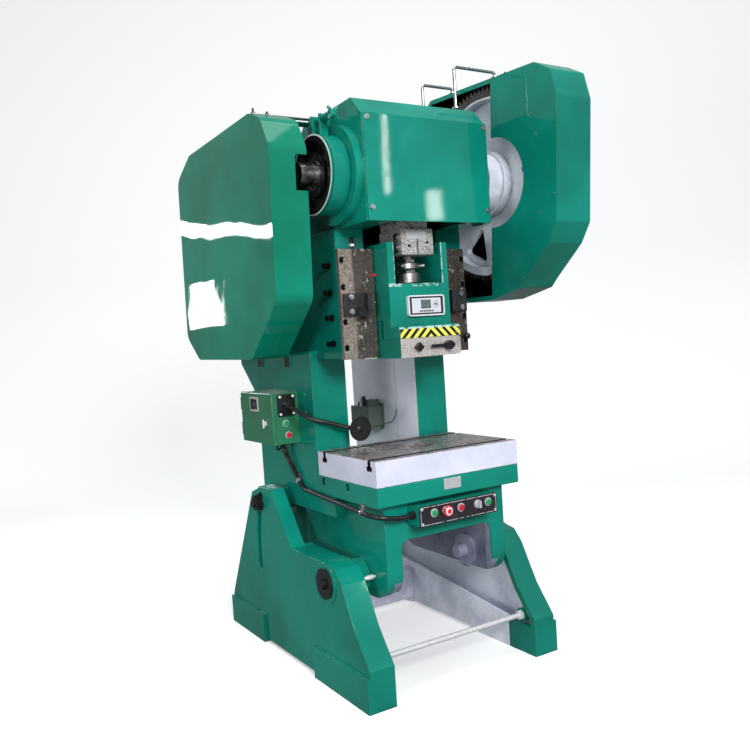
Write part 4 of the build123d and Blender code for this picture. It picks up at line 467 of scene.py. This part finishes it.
def bare_cast(name, light=CAST, dark=CAST_DARK, fleck=90, dim=None, sides=False):
    """Bare mottled cast iron with oil stains and a few rust flecks, darker beyond a width from the middle."""
    graph = Graph(name, Metallic=0.45, Specular_IOR_Level=0.5)
    tint = graph.mix(graph.span(graph.noise(fleck, 6, 0.75), 0.38, 0.64), light, dark)
    if dim:
        width = graph.width()
        oily = graph.calc("ADD", width, graph.calc("MULTIPLY", graph.noise(18, 4), 0.02))
        tint = graph.mix(graph.span(oily, dim, dim + 0.012, 0.78, 0.0), tint, linear(48, 40, 36))
        scratch = graph.span(graph.noise(34, 5, 0.75, stretch=(2.2, 1, 0.8)), 0.63, 0.66)
        scratch = graph.both(scratch, graph.below(oily, dim, dim + 0.01))
        tint = graph.mix(scratch, tint, linear(226, 220, 214))
    tint = graph.mix(graph.span(graph.noise(9, 4, 0.6), 0.52, 0.75, 0.0, 0.6), tint, OIL)
    tint = graph.mix(graph.span(graph.noise(31, 5, 0.7), 0.64, 0.76, 0.0, 0.55), tint, RUST)
    tint = graph.mix(graph.span(graph.noise(55, 4, 0.6), 0.62, 0.70, 0.0, 0.7), tint, linear(214, 208, 204))
    if sides:
        tint = graph.mix(graph.span(graph.calc("ABSOLUTE", graph.facing()[0]), 0.5, 0.7), tint, GREEN)
    normal = graph.bump(graph.noise(fleck * 1.3, 4, 0.65), 0.0006, 0.8, graph.soft_edge(0.0015))
    return graph.finish(tint, graph.span(graph.noise(26, 4), 0.3, 0.7, 0.30, 0.60), normal)


def machined(name, light=STEEL, dark=STEEL_DARK, stretch=(1, 1, 40), rough=(0.20, 0.40), oil=0.35, black=None,
             metal=1.0):
    """Turned or ground steel with fine tool marks and a film of oil."""
    graph = Graph(name, Metallic=metal)
    marks = graph.noise(60, 3, 0.6, stretch=stretch)
    tint = graph.mix(graph.span(marks, 0.35, 0.65), light, dark)
    tint = graph.mix(graph.span(graph.noise(14, 4, 0.6), 0.52, 0.75, 0.0, oil), tint, OIL)
    tint = graph.mix(graph.span(graph.noise(48, 5, 0.7), 0.68, 0.78, 0.0, 0.5), tint, RUST)
    if black:
        width = graph.width()
        outer = graph.both(graph.span(width, black, black + 0.001), graph.inside(graph.z, 1.19, 1.66))
        tint = graph.mix(outer, tint, BLACKENED)
    normal = graph.bump(marks, 0.00012, 0.7, graph.soft_edge(0.0010))
    return graph.finish(tint, graph.span(graph.noise(20, 3), 0.3, 0.7, *rough), normal)


def blackened(name, base=BLACKENED, bright=linear(92, 92, 96), metal=0.5, rough=(0.26, 0.45), pale=0.0):
    """Blackened steel, brighter along its edges, and painted pale nearer to the middle than a width."""
    graph = Graph(name, Metallic=metal)
    tint = graph.shade(base, graph.noise(40, 4, 0.6), 0.8, 1.25)
    wear = graph.both(graph.edge(0.0012), graph.span(graph.noise(70, 4), 0.4, 0.6))
    tint = graph.mix(graph.calc("MULTIPLY", wear, 0.75), tint, bright)
    if pale:
        width = graph.width()
        tint = graph.mix(graph.below(width, pale, pale + 0.002), tint, LAVENDER)
    normal = graph.bump(graph.noise(120, 3), 0.0002, 0.7, graph.soft_edge(0.0012))
    return graph.finish(tint, graph.span(graph.noise(18, 3), 0.3, 0.7, *rough), normal)


def moulded(name, colour, rough=(0.28, 0.40), grain=220, coat=0.0, zones=None):
    """Moulded plastic or rubber with a fine grain."""
    graph = Graph(name, Coat_Weight=coat, Coat_Roughness=0.1)
    tint = graph.shade(colour, graph.noise(30, 4, 0.6), 0.9, 1.08)
    dust = graph.span(graph.noise(14, 4, 0.6), 0.58, 0.8, 0.0, 0.16)
    tint = graph.mix(dust, tint, linear(150, 146, 138))
    gloss = graph.span(graph.noise(25, 3), 0.3, 0.7, *rough)
    if zones:
        tint, gloss = zones(graph, tint, gloss)
    normal = graph.bump(graph.noise(grain, 3), 0.00012, 0.7, graph.soft_edge(0.0010))
    return graph.finish(tint, gloss, normal)


def panel_zones(graph, tint, rough):
    """Bright rings and screws stand in front of the panel, which has a thin pale border line."""
    proud = graph.before(-0.2445, -0.2442)
    width = graph.width()
    outer = graph.both(graph.inside(width, -0.1, 0.1680), graph.inside(graph.z, 0.5900, 0.6540))
    inner = graph.both(graph.inside(width, -0.1, 0.1664), graph.inside(graph.z, 0.5916, 0.6524))
    line = graph.both(outer, graph.invert(inner), graph.span(graph.noise(60, 3), 0.38, 0.44))
    tint = graph.mix(line, tint, linear(206, 208, 212))
    return graph.mix(proud, tint, linear(196, 196, 202)), graph.fade(proud, rough, 0.22)


def plate_zones(graph, tint, rough):
    """The four screw heads of the lamp's base are bright."""
    proud = graph.before(0.3464, 0.3467)
    return graph.mix(proud, tint, linear(226, 230, 232)), graph.fade(proud, rough, 0.22)


def mushroom_highlight(graph, tint, rough):
    """A painted highlight: a pale ring on the head of the emergency stop button."""
    reach = graph.length(graph.calc("SUBTRACT", graph.x, EMERGENCY_X),
                         graph.calc("SUBTRACT", graph.z, EMERGENCY_Z))
    ring = graph.both(graph.inside(reach, 0.0085, 0.0145), graph.before(-0.2618, -0.2610))
    # Painted highlight: the pale ring.
    return graph.mix(ring, tint, linear(240, 206, 212)), rough


def bolster_finish():
    """White sides, chipped at the rims, and a bare mottled top with oil, slots and bore; the insides of the
    slots are darkened by grime and painted shade.
    """
    graph = Graph("bolster_finish", Specular_IOR_Level=0.5)
    faces = graph.facing()
    top = graph.span(faces[2], 0.5, 0.8)
    width = graph.width()
    outside = graph.either(graph.span(width, 0.3125, 0.3140),
                           graph.before(-0.2035, -0.2020),
                           graph.behind(0.2130, 0.2140))
    iron = graph.mix(graph.span(graph.noise(46, 6, 0.7), 0.36, 0.62),
                     linear(168, 160, 164), linear(104, 97, 99))
    iron = graph.mix(graph.span(graph.noise(7, 5, 0.65), 0.42, 0.66, 0.0, 0.65), iron, linear(66, 58, 54))
    iron = graph.mix(graph.span(graph.noise(120, 4, 0.7), 0.63, 0.72, 0.0, 0.8), iron, linear(64, 56, 50))
    iron = graph.mix(graph.span(graph.noise(19, 5, 0.7), 0.62, 0.74, 0.0, 0.6), iron, linear(222, 218, 222))
    white = graph.mix(graph.span(graph.noise(5, 4, 0.6), 0.35, 0.7), WHITE_SIDE, linear(206, 209, 228))
    scuff = graph.span(graph.noise(60, 5, 0.7, stretch=(0.5, 0.5, 2.0)), 0.66, 0.74, 0.0, 0.55)
    white = graph.mix(scuff, white, linear(132, 128, 134))
    chips = graph.both(graph.edge(0.0035), graph.span(graph.noise(55, 5, 0.7), 0.42, 0.52))
    white = graph.mix(chips, white, linear(110, 102, 98))
    painted = graph.both(outside, graph.invert(top))
    tint = graph.mix(painted, iron, white)
    away = graph.length(graph.x, graph.calc("ADD", graph.y, SHIFT_Y))
    # Grime and painted shade: the insides of the slots, away from the central bore, in near-black.
    slot_grime_and_shade = graph.both(graph.invert(top), graph.invert(outside), graph.span(away, 0.10, 0.11))
    tint = graph.mix(slot_grime_and_shade, tint, linear(24, 22, 22))
    rough = graph.fade(painted, graph.span(graph.noise(22, 4), 0.3, 0.7, 0.20, 0.50), 0.30)
    normal = graph.bump(graph.noise(90, 4, 0.65), 0.0005, 0.7, graph.soft_edge(0.0015))
    return graph.finish(tint, rough, normal)


def hazard_finish():
    """Black and yellow stripes that lean towards the middle, chipped at the right end."""
    graph = Graph("hazard_finish", Coat_Weight=0.3, Coat_Roughness=0.15)
    width = graph.width()
    slant = graph.calc("ADD", width, graph.z)
    turn = graph.calc("FRACT", graph.calc("DIVIDE", graph.calc("ADD", slant, 0.004), HAZARD_STEP))
    stripe = graph.inside(turn, 0.0, 0.5, 0.02)
    yellow = graph.shade(linear(240, 236, 92), graph.noise(40, 4), 0.94, 1.04)
    tint = graph.mix(stripe, yellow, linear(14, 15, 15))
    place = graph.span(graph.x, 0.02, 0.14, 0.0, 0.16)
    chipped = graph.span(graph.calc("ADD", graph.noise(60, 5, 0.7), place), 0.70, 0.74)
    tint = graph.mix(chipped, tint, linear(120, 112, 100))
    worn = graph.both(graph.edge(0.0012), graph.span(graph.noise(80, 4), 0.42, 0.55))
    tint = graph.mix(worn, tint, linear(150, 146, 140))
    normal = graph.bump(chipped, -0.0003, 0.8, graph.soft_edge(0.0006))
    return graph.finish(tint, graph.span(graph.noise(30, 3), 0.3, 0.7, 0.30, 0.45), normal)


def counter_finish():
    """White rim, black bezel, pale face and grey display of the stroke counter."""
    graph = Graph("counter_finish", Coat_Weight=0.25, Coat_Roughness=0.12)
    rim = graph.both(graph.inside(graph.x, -0.0590, 0.0930), graph.inside(graph.z, 1.3250, 1.3910))
    bezel = graph.both(graph.inside(graph.x, -0.0580, 0.0920), graph.inside(graph.z, 1.3260, 1.3900))
    face = graph.both(graph.inside(graph.x, -0.0480, 0.0820), graph.inside(graph.z, 1.3310, 1.3850))
    display = graph.both(graph.inside(graph.x, -0.0080, 0.0370), graph.inside(graph.z, 1.3465, 1.3790))
    keys = graph.both(graph.inside(graph.x, -0.0150, 0.0490), graph.inside(graph.z, 1.3345, 1.3410),
                      graph.span(graph.calc("FRACT", graph.calc("MULTIPLY", graph.x, 110.0)), 0.22, 0.28))
    dial = graph.length(graph.calc("SUBTRACT", graph.x, 0.0600), graph.calc("SUBTRACT", graph.z, 1.3620))
    knob = graph.either(graph.inside(dial, 0.0115, 0.0130, 0.0004), graph.below(dial, 0.0045, 0.0055))
    front = graph.below(graph.facing()[1], -0.8, -0.6)
    tint = graph.shade(linear(226, 228, 234), graph.noise(30, 3), 0.95, 1.03)
    tint = graph.mix(graph.both(rim, front), tint, linear(26, 27, 30))
    tint = graph.mix(graph.both(face, front), tint, linear(206, 210, 220))
    tint = graph.mix(graph.both(graph.either(keys, knob), front), tint, linear(34, 36, 44))
    screen = graph.mix(graph.span(graph.noise(420, 1), 0.45, 0.6), linear(74, 84, 84), linear(112, 124, 122))
    tint = graph.mix(graph.both(display, front), tint, screen)
    rough = graph.fade(graph.both(display, front), 0.30, 0.08)
    normal = graph.bump(graph.both(bezel, front), -0.0006, 0.8, graph.soft_edge(0.0012))
    return graph.finish(tint, rough, normal)


# ---------------------------------------------------------------- materials of the CAD nodes
green_cast = enamel("green_cast", 0.0016, 0.0, 0.45, 0.0030, casting_zones)
green_leg = enamel("green_leg", 0.0016, 0.0, 0.35, 0.0030, leg_zones)
green_belt_guard = enamel("green_belt_guard", 0.0006, 0.0062, 0.12, 0.0016, belt_guard_zones,
                          linear(10, 137, 112), linear(6, 116, 92), 0.02)
green_gear_guard = enamel("green_gear_guard", 0.0007, 0.0030, 0.12, 0.0016, gear_guard_zones, gloss=0.04)
green_part = enamel("green_part", 0.0008, 0.0, 0.40, 0.0020)
green_cover = enamel("green_cover", 0.0003, 0.0006, 0.20, 0.0020, gloss=0.02)
green_slide = enamel("green_slide", 0.0008, 0.0, 0.50, 0.0020, slide_zones)
green_drum = enamel("green_drum", 0.0004, 0.0, 0.20, 0.0015, drum_zones)
cabinet_green = (linear(40, 124, 92), linear(52, 114, 80))
green_cabinet = enamel("green_cabinet", 0.0004, 0.0010, 0.25, 0.0014, cabinet_zones, *cabinet_green)
green_door = enamel("green_door", 0.0004, 0.0010, 0.25, 0.0014, door_zones, *cabinet_green)
grey_green = enamel("grey_green", 0.0006, 0.0, 0.30, 0.0014, None, linear(92, 104, 98), linear(72, 84, 78))
grey_gear = primer("grey_gear", linear(222, 227, 238), linear(194, 200, 214), (0.30, 0.45), 0.0008,
                   gear_zones)
grey_wheel = primer("grey_wheel", linear(150, 154, 166), linear(110, 114, 126))
pale_primer = primer("pale_primer", linear(206, 208, 226), linear(160, 162, 184))
dark_enamel = blackened("dark_enamel", linear(34, 38, 40), linear(96, 100, 102), 0.1, (0.30, 0.45))
bracket_dark = blackened("bracket_dark", linear(48, 47, 50), linear(110, 108, 108), 0.3, (0.30, 0.45))
cast_iron = bare_cast("cast_iron", linear(222, 220, 220), linear(112, 108, 108), 130)
clamp_iron = bare_cast("clamp_iron", linear(220, 215, 212), linear(150, 142, 138), 190, sides=True)
shaft_steel = machined("shaft_steel", stretch=(40, 1, 1))
polished = machined("polished", linear(240, 240, 242), linear(214, 214, 216), (1, 1, 30),
                    (0.24, 0.36), 0.05, metal=0.35)
plate_steel = machined("plate_steel", linear(226, 228, 230), linear(198, 200, 204), (30, 1, 1),
                       (0.30, 0.42), 0.15, metal=0.5)
bright_steel = machined("bright_steel", linear(196, 196, 200), linear(150, 150, 154), (1, 1, 30),
                        (0.18, 0.32), 0.2)
screw_steel = machined("screw_steel", linear(186, 184, 182), linear(130, 126, 122), (1, 1, 30),
                       (0.22, 0.42), 0.3)
bolt_steel = machined("bolt_steel", linear(206, 206, 208), linear(150, 150, 152), (1, 1, 1),
                      (0.24, 0.42), 0.3, 0.262)
black_bolt = blackened("black_bolt")
pivot_black = blackened("pivot_black", pale=0.3)
gib_iron = bare_cast("gib_iron", linear(164, 154, 144), linear(104, 92, 84), 150, 0.230)
# Dark iron, made darker still as painted shade, for the right gib.
gib_dark_and_shaded = bare_cast("gib_dark_and_shaded", linear(92, 82, 76), linear(48, 42, 38), 150)
bronze = machined("bronze", linear(176, 134, 72), linear(128, 92, 46), (20, 1, 1), (0.22, 0.38), 0.3)
rubber = moulded("rubber", linear(22, 22, 24), (0.36, 0.50), 300, 0.2)
conduit_black = moulded("conduit_black", linear(18, 19, 21), (0.34, 0.46), 90, 0.0)
black_plastic = moulded("black_plastic", linear(22, 23, 26), (0.30, 0.42))
black_panel = moulded("black_panel", linear(34, 31, 38), (0.28, 0.40), 120, 0.2, panel_zones)
black_plate = moulded("black_plate", linear(18, 18, 20), (0.25, 0.36), 160, 0.3, plate_zones)
green_plastic = moulded("green_plastic", linear(20, 150, 84), (0.18, 0.28), 200, 0.5)
red_plastic = moulded("red_plastic", linear(198, 24, 48), (0.18, 0.28), 200, 0.5)
stop_plastic = moulded("stop_plastic", linear(206, 26, 52), (0.18, 0.28), 200, 0.5, mushroom_highlight)
grey_plastic = moulded("grey_plastic", linear(176, 178, 182), (0.22, 0.32), 200, 0.3)
lining_finish = moulded("lining_finish", linear(86, 70, 54), (0.7, 0.85), 130)

FINISH = {
    "frame_casting": green_cast, "head_cover": green_cover, "frame_bushes": bronze,
    "bolster": bolster_finish(), "left_gib": gib_iron, "right_gib": gib_dark_and_shaded,
    "stop_brackets": bracket_dark, "frame_fasteners": bolt_steel, "crankshaft": shaft_steel,
    "clutch_key": shaft_steel, "clutch_lever": bolt_steel, "brake_drum": green_drum,
    "brake_lining": lining_finish, "brake_band": green_part, "brake_tension": green_part,
    "bull_gear": grey_gear, "countershaft": shaft_steel, "pinion": shaft_steel, "flywheel": grey_wheel,
    "motor_pulley": grey_wheel, "v_belts": rubber, "motor": dark_enamel, "motor_base": green_part,
    "belt_guard": green_belt_guard, "gear_guard": green_gear_guard, "gear_guard_bars": bright_steel,
    "left_leg": green_leg, "right_leg": green_leg, "cross_beam": pale_primer, "leg_fasteners": polished,
    "pivot_bolts": pivot_black, "lock_bolts": black_bolt, "conrod": cast_iron, "conrod_cap": green_part,
    "rod_shells": bronze, "conrod_bolts": bolt_steel, "adjusting_screw": screw_steel,
    "slide": green_slide, "crush_plate": cast_iron, "shank_clamp": clamp_iron,
    "clamp_screws": black_bolt, "hazard_strip": hazard_finish(), "stroke_counter": counter_finish(),
    "electric_cabinet": green_cabinet, "cabinet_door": green_door,
    "cabinet_start_button": green_plastic, "cabinet_stop_button": red_plastic, "lamp_base": black_plate,
    "gooseneck": rubber, "lamp_head": black_plastic, "conduit": conduit_black,
    "conduit_clips": bright_steel, "control_box": green_part, "control_panel": black_panel,
    "left_start_button": green_plastic, "stop_button": red_plastic, "right_start_button": green_plastic,
    "emergency_stop": stop_plastic, "mode_switch": grey_plastic, "lubricator": grey_green,
}
for name, material in FINISH.items():
    mesh = nodes[name].data
    mesh.materials.clear()
    mesh.materials.append(material)
    for face in mesh.polygons:
        face.material_index = 0

# ---------------------------------------------------------------- small fittings
def solid(name, mesh, material, body="frame", rounded=0.0006):
    """A small piece in its own object, with rounded edges, that rides on a CAD body."""
    bmesh.ops.recalc_face_normals(mesh, faces=mesh.faces)
    data = bpy.data.meshes.new(name)
    mesh.to_mesh(data)
    mesh.free()
    for face in data.polygons:
        face.use_smooth = True
    data.set_sharp_from_angle(angle=math.radians(35))
    data.materials.append(material)
    piece = bpy.data.objects.new(name, data)
    scene.collection.objects.link(piece)
    edges = piece.modifiers.new("rounded", "BEVEL")
    edges.width, edges.segments, edges.limit_method = rounded, 2, "ANGLE"
    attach(piece, body)
    return piece


def turned(mesh, start, axis, profile, sides=24):
    """A closed turned form: pairs of distance along the axis and radius, all in millimetres."""
    axis = Vector(axis).normalized()
    across = axis.orthogonal().normalized()
    rings = []
    for distance, radius in profile:
        middle = at(*start) + axis * distance / 1000
        rings.append([mesh.verts.new(middle + Quaternion(axis, math.tau * k / sides) @ across * radius / 1000)
                      for k in range(sides)])
    for lower, upper in zip(rings, rings[1:]):
        for k in range(sides):
            mesh.faces.new((lower[k], lower[(k + 1) % sides], upper[(k + 1) % sides], upper[k]))
    mesh.faces.new(rings[0])
    mesh.faces.new(rings[-1])


def slab(mesh, outline, thickness, lift):
    """A flat plate: an outline of points in millimetres, thickened along a direction."""
    step = Vector(lift).normalized() * thickness / 1000
    near = [mesh.verts.new(at(*point)) for point in outline]
    far = [mesh.verts.new(at(*point) + step) for point in outline]
    mesh.faces.new(near)
    mesh.faces.new(far)
    for k in range(len(near)):
        mesh.faces.new((near[k], near[(k + 1) % len(near)], far[(k + 1) % len(near)], far[k]))


def wire(name, points, diameter, material, body="frame"):
    """A thin bent wire or hose, through points in millimetres."""
    curve = bpy.data.curves.new(name, "CURVE")
    curve.dimensions = "3D"
    curve.bevel_depth, curve.bevel_resolution, curve.resolution_u = diameter / 2000, 3, 8
    curve.use_fill_caps = True
    spline = curve.splines.new("BEZIER")
    spline.bezier_points.add(len(points) - 1)
    for knot, point in zip(spline.bezier_points, points):
        knot.co = at(*point)
        knot.handle_left_type = knot.handle_right_type = "AUTO"
    curve.materials.append(material)
    piece = bpy.data.objects.new(name, curve)
    scene.collection.objects.link(piece)
    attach(piece, body)


def rivets(mesh, spots, axis, radius, height):
    """Low round heads on a plate."""
    for spot in spots:
        turned(mesh, spot, axis, [(-0.5, radius), (height * 0.4, radius), (height * 0.8, radius * 0.75),
                                  (height, radius * 0.35)], 16)


def corners(x_span, z_span, y, inset):
    """The four corners of an upright plate, moved in by an inset."""
    return [(x, y, z) for x in (x_span[0] + inset, x_span[1] - inset)
            for z in (z_span[0] + inset, z_span[1] - inset)]


def name_plate(name, x_span, z_span, y, body, material):
    """A bare plate on a front face, held by four rivets."""
    mesh = bmesh.new()
    (left, right_end), (low, high) = x_span, z_span
    slab(mesh, [(left, y, low), (right_end, y, low), (right_end, y, high), (left, y, high)], 1.2, (0, -1, 0))
    rivets(mesh, corners(x_span, z_span, y - 1.2, 4), (0, -1, 0), 2.2, 1.4)
    solid(name, mesh, material, body, 0.0003)


ROD_FRONT = -85.0
name_plate("bed_plate", (-33, 42), (693, 732), -205, "frame", plate_steel)
name_plate("rod_plate", (-47, 40), (1603, 1636), ROD_FRONT, "pitman", plate_steel)

pitman_screws = bmesh.new()
for x, z in ((-38, 1578), (42, 1590)):
    turned(pitman_screws, (x, ROD_FRONT, z), (0, -1, 0), [(-1, 5), (5, 5), (7, 3.6)])
solid("rod_screws", pitman_screws, black_bolt, "pitman")

nipple = bmesh.new()
turned(nipple, (-132, 12, 1482), (-1, 0, 0),
       [(-3, 6.5), (6, 6.5), (7, 4), (13, 4), (15, 5.6), (20, 5.6), (23, 3.5)])
solid("grease_nipple", nipple, red_plastic, "ram")

knob = bmesh.new()
turned(knob, (267, 13, 1234), (0, -1, 0), [(-3, 5), (8, 5), (9, 11), (20, 13), (27, 11), (30, 6)])
solid("gib_knob", knob, black_plastic, "frame")

stud = bmesh.new()
turned(stud, (-215, 26, 1570), (0, 0, 1), [(0, 6.5), (50, 6.5), (52, 5.2)])
solid("gib_stud", stud, black_bolt, "frame")
nut = bmesh.new()
turned(nut, (-215, 26, 1588), (0, 0, 1), [(0, 11.5), (10, 11.5)], 6)
solid("gib_stud_nut", nut, polished)

STAY_Y, STAY_LOW, STAY_TOP = 125.0, 2061.0, 2065.0
stay = bmesh.new()
slab(stay, [(-530, STAY_Y - 12, STAY_LOW), (-271, STAY_Y - 12, STAY_LOW), (-271, STAY_Y + 12, STAY_LOW),
            (-530, STAY_Y + 12, STAY_LOW)], STAY_TOP - STAY_LOW, (0, 0, 1))
slab(stay, [(-275, STAY_Y - 12, 2030), (-275, STAY_Y + 12, 2030), (-275, STAY_Y + 12, STAY_TOP),
            (-275, STAY_Y - 12, STAY_TOP)], 4, (1, 0, 0))
solid("guard_stay", stay, bright_steel)
stay_bolts = bmesh.new()
for x, reach in ((-524, 20), (-470, 13)):
    turned(stay_bolts, (x, STAY_Y, STAY_TOP), (0, 0, 1), [(-1, 8), (6, 8)], 6)
    turned(stay_bolts, (x, STAY_Y, STAY_TOP + 6), (0, 0, 1), [(-1, 4), (reach - 6, 4)], 16)
turned(stay_bolts, (-275, STAY_Y, 2046), (-1, 0, 0), [(-1, 9), (7, 9)], 6)
solid("guard_stay_bolts", stay_bolts, black_bolt, "frame")

domes = bmesh.new()
GUARD_PLATE_X = 382.0
rivets(domes, [(GUARD_PLATE_X, y, z) for y, z in ((-427, 1954), (-405, 1726), (-219, 1440), (-182, 2217))],
       (-1, 0, 0), 4, 3)
solid("gear_guard_screws", domes, green_part, "frame", 0.0003)

(band_left, _, _), (band_right, _, _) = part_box("brake_lining")
band_x = (band_left + band_right) * 500
TENSION_Z = 2027.0
star = bmesh.new()
turned(star, (band_x, -96, TENSION_Z), (0, -1, 0), [(0, 13), (12, 13), (15, 10)])
for k in range(4):
    angle = math.pi / 4 + k * math.pi / 2
    turned(star, (band_x + 8 * math.cos(angle), -102, TENSION_Z + 8 * math.sin(angle)),
           (math.cos(angle), 0, math.sin(angle)), [(0, 6), (16, 5.5), (22, 4)], 16)
solid("brake_star_nut", star, green_part, "frame", 0.0010)

collar = bmesh.new()
turned(collar, (0, 0, 1496), (0, 0, 1), [(0, 50), (3, 53), (21, 53), (24, 50)], 48)
for k in range(4):
    angle = math.pi / 4 + k * math.pi / 2
    turned(collar, (46 * math.cos(angle), 46 * math.sin(angle), 1508), (math.cos(angle), math.sin(angle), 0),
           [(0, 8.5), (20, 8.5), (26, 6)], 20)
solid("screw_ring", collar, screw_steel, "screw", 0.0010)

pin = bmesh.new()
turned(pin, (-266, -75, 400), (-1, 0, 0), [(-2, 5), (10, 5), (11, 9), (34, 9), (40, 7.5), (49, 6)])
solid("side_pin", pin, polished)

(pump_left, pump_front, pump_low), (pump_right, pump_rear, pump_high) = [
    [value * 1000 for value in corner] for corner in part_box("lubricator")]
pump_front, pump_rear = pump_front + SHIFT_Y * 1000, pump_rear + SHIFT_Y * 1000
fitting = bmesh.new()
for y in (pump_front + 34, pump_front + 62):
    turned(fitting, (pump_left + 14, y, pump_high - 30), (0, 0, 1), [(0, 6), (34, 6), (35, 4), (46, 4)], 16)
solid("pump_fittings", fitting, polished)
lever = bmesh.new()
turned(lever, (pump_left + 6, pump_front + 22, pump_high - 26), (-0.15, -0.2, 1),
       [(0, 7), (8, 8), (40, 9), (46, 6)], 16)
solid("pump_handle", lever, black_plastic, "frame")
wire("pump_pipe", [(pump_right - 3, pump_front + 8, pump_low + 22), (163, 452, 876), (163, 416, 882),
                   (163, 388, 912), (165, 378, 940)], 5, bright_steel)

# ---------------------------------------------------------------- floor and backdrop
def sweep_floor():
    """One sheet that is the floor, and that curves up into the backdrop behind the press."""
    front_end, bend_start, bend_radius, top, half_width, steps = -7.0, 3.0, 2.0, 6.0, 9.0, 12
    mesh = bmesh.new()
    rows = []
    profile = [(front_end, 0.0), (bend_start, 0.0)]
    for step in range(1, steps + 1):
        angle = step / steps * math.pi / 2
        profile.append((bend_start + bend_radius * math.sin(angle),
                        bend_radius - bend_radius * math.cos(angle)))
    profile.append((bend_start + bend_radius, top))
    turn = Matrix.Rotation(-math.radians(31.5), 4, "Z")
    for distance, height in profile:
        rows.append([mesh.verts.new(turn @ Vector((side, distance, height)))
                     for side in (-half_width, half_width)])
    for lower, upper in zip(rows, rows[1:]):
        mesh.faces.new((lower[0], lower[1], upper[1], upper[0]))
    data = bpy.data.meshes.new("studio_floor")
    mesh.to_mesh(data)
    mesh.free()
    for face in data.polygons:
        face.use_smooth = True
    floor = bpy.data.objects.new("studio_floor", data)
    scene.collection.objects.link(floor)
    graph = Graph("studio_floor")
    tint = graph.mix(graph.span(graph.noise(40, 4), 0.3, 0.7), linear(246, 246, 246), linear(249, 249, 249))
    graph.shader.inputs["Emission Color"].default_value = (1, 1, 1, 1)
    graph.shader.inputs["Emission Strength"].default_value = 0.30
    data.materials.append(graph.finish(tint, graph.span(graph.noise(3, 3), 0.3, 0.7, 0.6, 0.75),
                                       graph.bump(graph.noise(90, 3), 0.0002, 0.5)))
    floor.visible_glossy = floor.visible_diffuse = False


sweep_floor()

# ---------------------------------------------------------------- light
world = bpy.data.worlds.new("studio")
scene.world = world
world.use_nodes = True
world_nodes, world_links = world.node_tree.nodes, world.node_tree.links
height = world_nodes.new("ShaderNodeSeparateXYZ")
sky = world_nodes.new("ShaderNodeMapRange")
world_links.new(world_nodes.new("ShaderNodeTexCoord").outputs["Generated"], height.inputs[0])
world_links.new(height.outputs["Z"], sky.inputs["Value"])
for socket, value in (("From Min", -0.10), ("From Max", 0.25), ("To Min", 0.28), ("To Max", 0.54)):
    sky.inputs[socket].default_value = value
world_links.new(sky.outputs["Result"], world_nodes["Background"].inputs["Strength"])
world_nodes["Background"].inputs["Color"].default_value = (0.93, 0.97, 1.0, 1)


def lamp(name, place, target, size, power, tint=(1, 1, 1), roll=0.0):
    data = bpy.data.lights.new(name, "AREA")
    data.shape = "RECTANGLE"
    data.size, data.size_y = size
    data.energy = power
    data.color = tint
    light = bpy.data.objects.new(name, data)
    light.location = place
    aim = (Vector(target) - Vector(place)).to_track_quat("-Z", "Y")
    light.rotation_euler = (aim @ Quaternion((0, 0, 1), math.radians(roll))).to_euler()
    light.visible_camera = False
    scene.collection.objects.link(light)


lamp("key_light", (-1.2, -5.6, 3.3), (0, -0.2, 1.2), (2.2, 1.4), 280)
lamp("top_light", (-0.6, -0.6, 4.6), (0, 0, 1), (3.0, 2.4), 70)
lamp("left_fill", (-4.4, -2.4, 0.9), (0, 0, 0.6), (1.2, 1.0), 56)
lamp("rear_band", (-1.724, 3.034, 2.121), (-0.552, 0.087, 1.70), (1.36, 0.10), 9, (1, 1, 1), -3.0)
lamp("rear_patch", (-1.724, 3.620, 1.597), (-0.552, 0.40, 1.43), (0.30, 0.38), 10, (1, 1, 1), 4.0)
lamp("strip_light", (1.812, -3.493, 2.702), (-0.187, -0.452, 1.89), (0.016, 0.66), 1.6)
lamp("door_light", (2.264, -3.493, 2.285), (0.01, -0.452, 1.708), (0.12, 0.24), 1.5)

# ---------------------------------------------------------------- camera
YAW, PITCH, ROLL = math.radians(31.54), math.radians(2.9), math.radians(-3.7)
EYE = (-1.7241, -2.7910, 1.2650)
SENSOR, FOCAL_PIXELS, IMAGE_PIXELS = 36.0, 809.38, 750.0
forward = Vector((math.sin(YAW) * math.cos(PITCH), math.cos(YAW) * math.cos(PITCH), -math.sin(PITCH)))
level = Vector((math.cos(YAW), -math.sin(YAW), 0))
rise = level.cross(forward)
right = level * math.cos(ROLL) + rise * math.sin(ROLL)
up = rise * math.cos(ROLL) - level * math.sin(ROLL)
camera_data = bpy.data.cameras.new("camera")
camera_data.sensor_width = SENSOR
camera_data.lens = SENSOR * FOCAL_PIXELS / IMAGE_PIXELS
camera_data.clip_start, camera_data.clip_end = 0.05, 60.0
camera = bpy.data.objects.new("camera", camera_data)
camera.matrix_world = Matrix.Translation(EYE) @ Matrix((right, up, -forward)).transposed().to_4x4()
scene.collection.objects.link(camera)
scene.camera = camera
scene.view_settings.view_transform = "Standard"
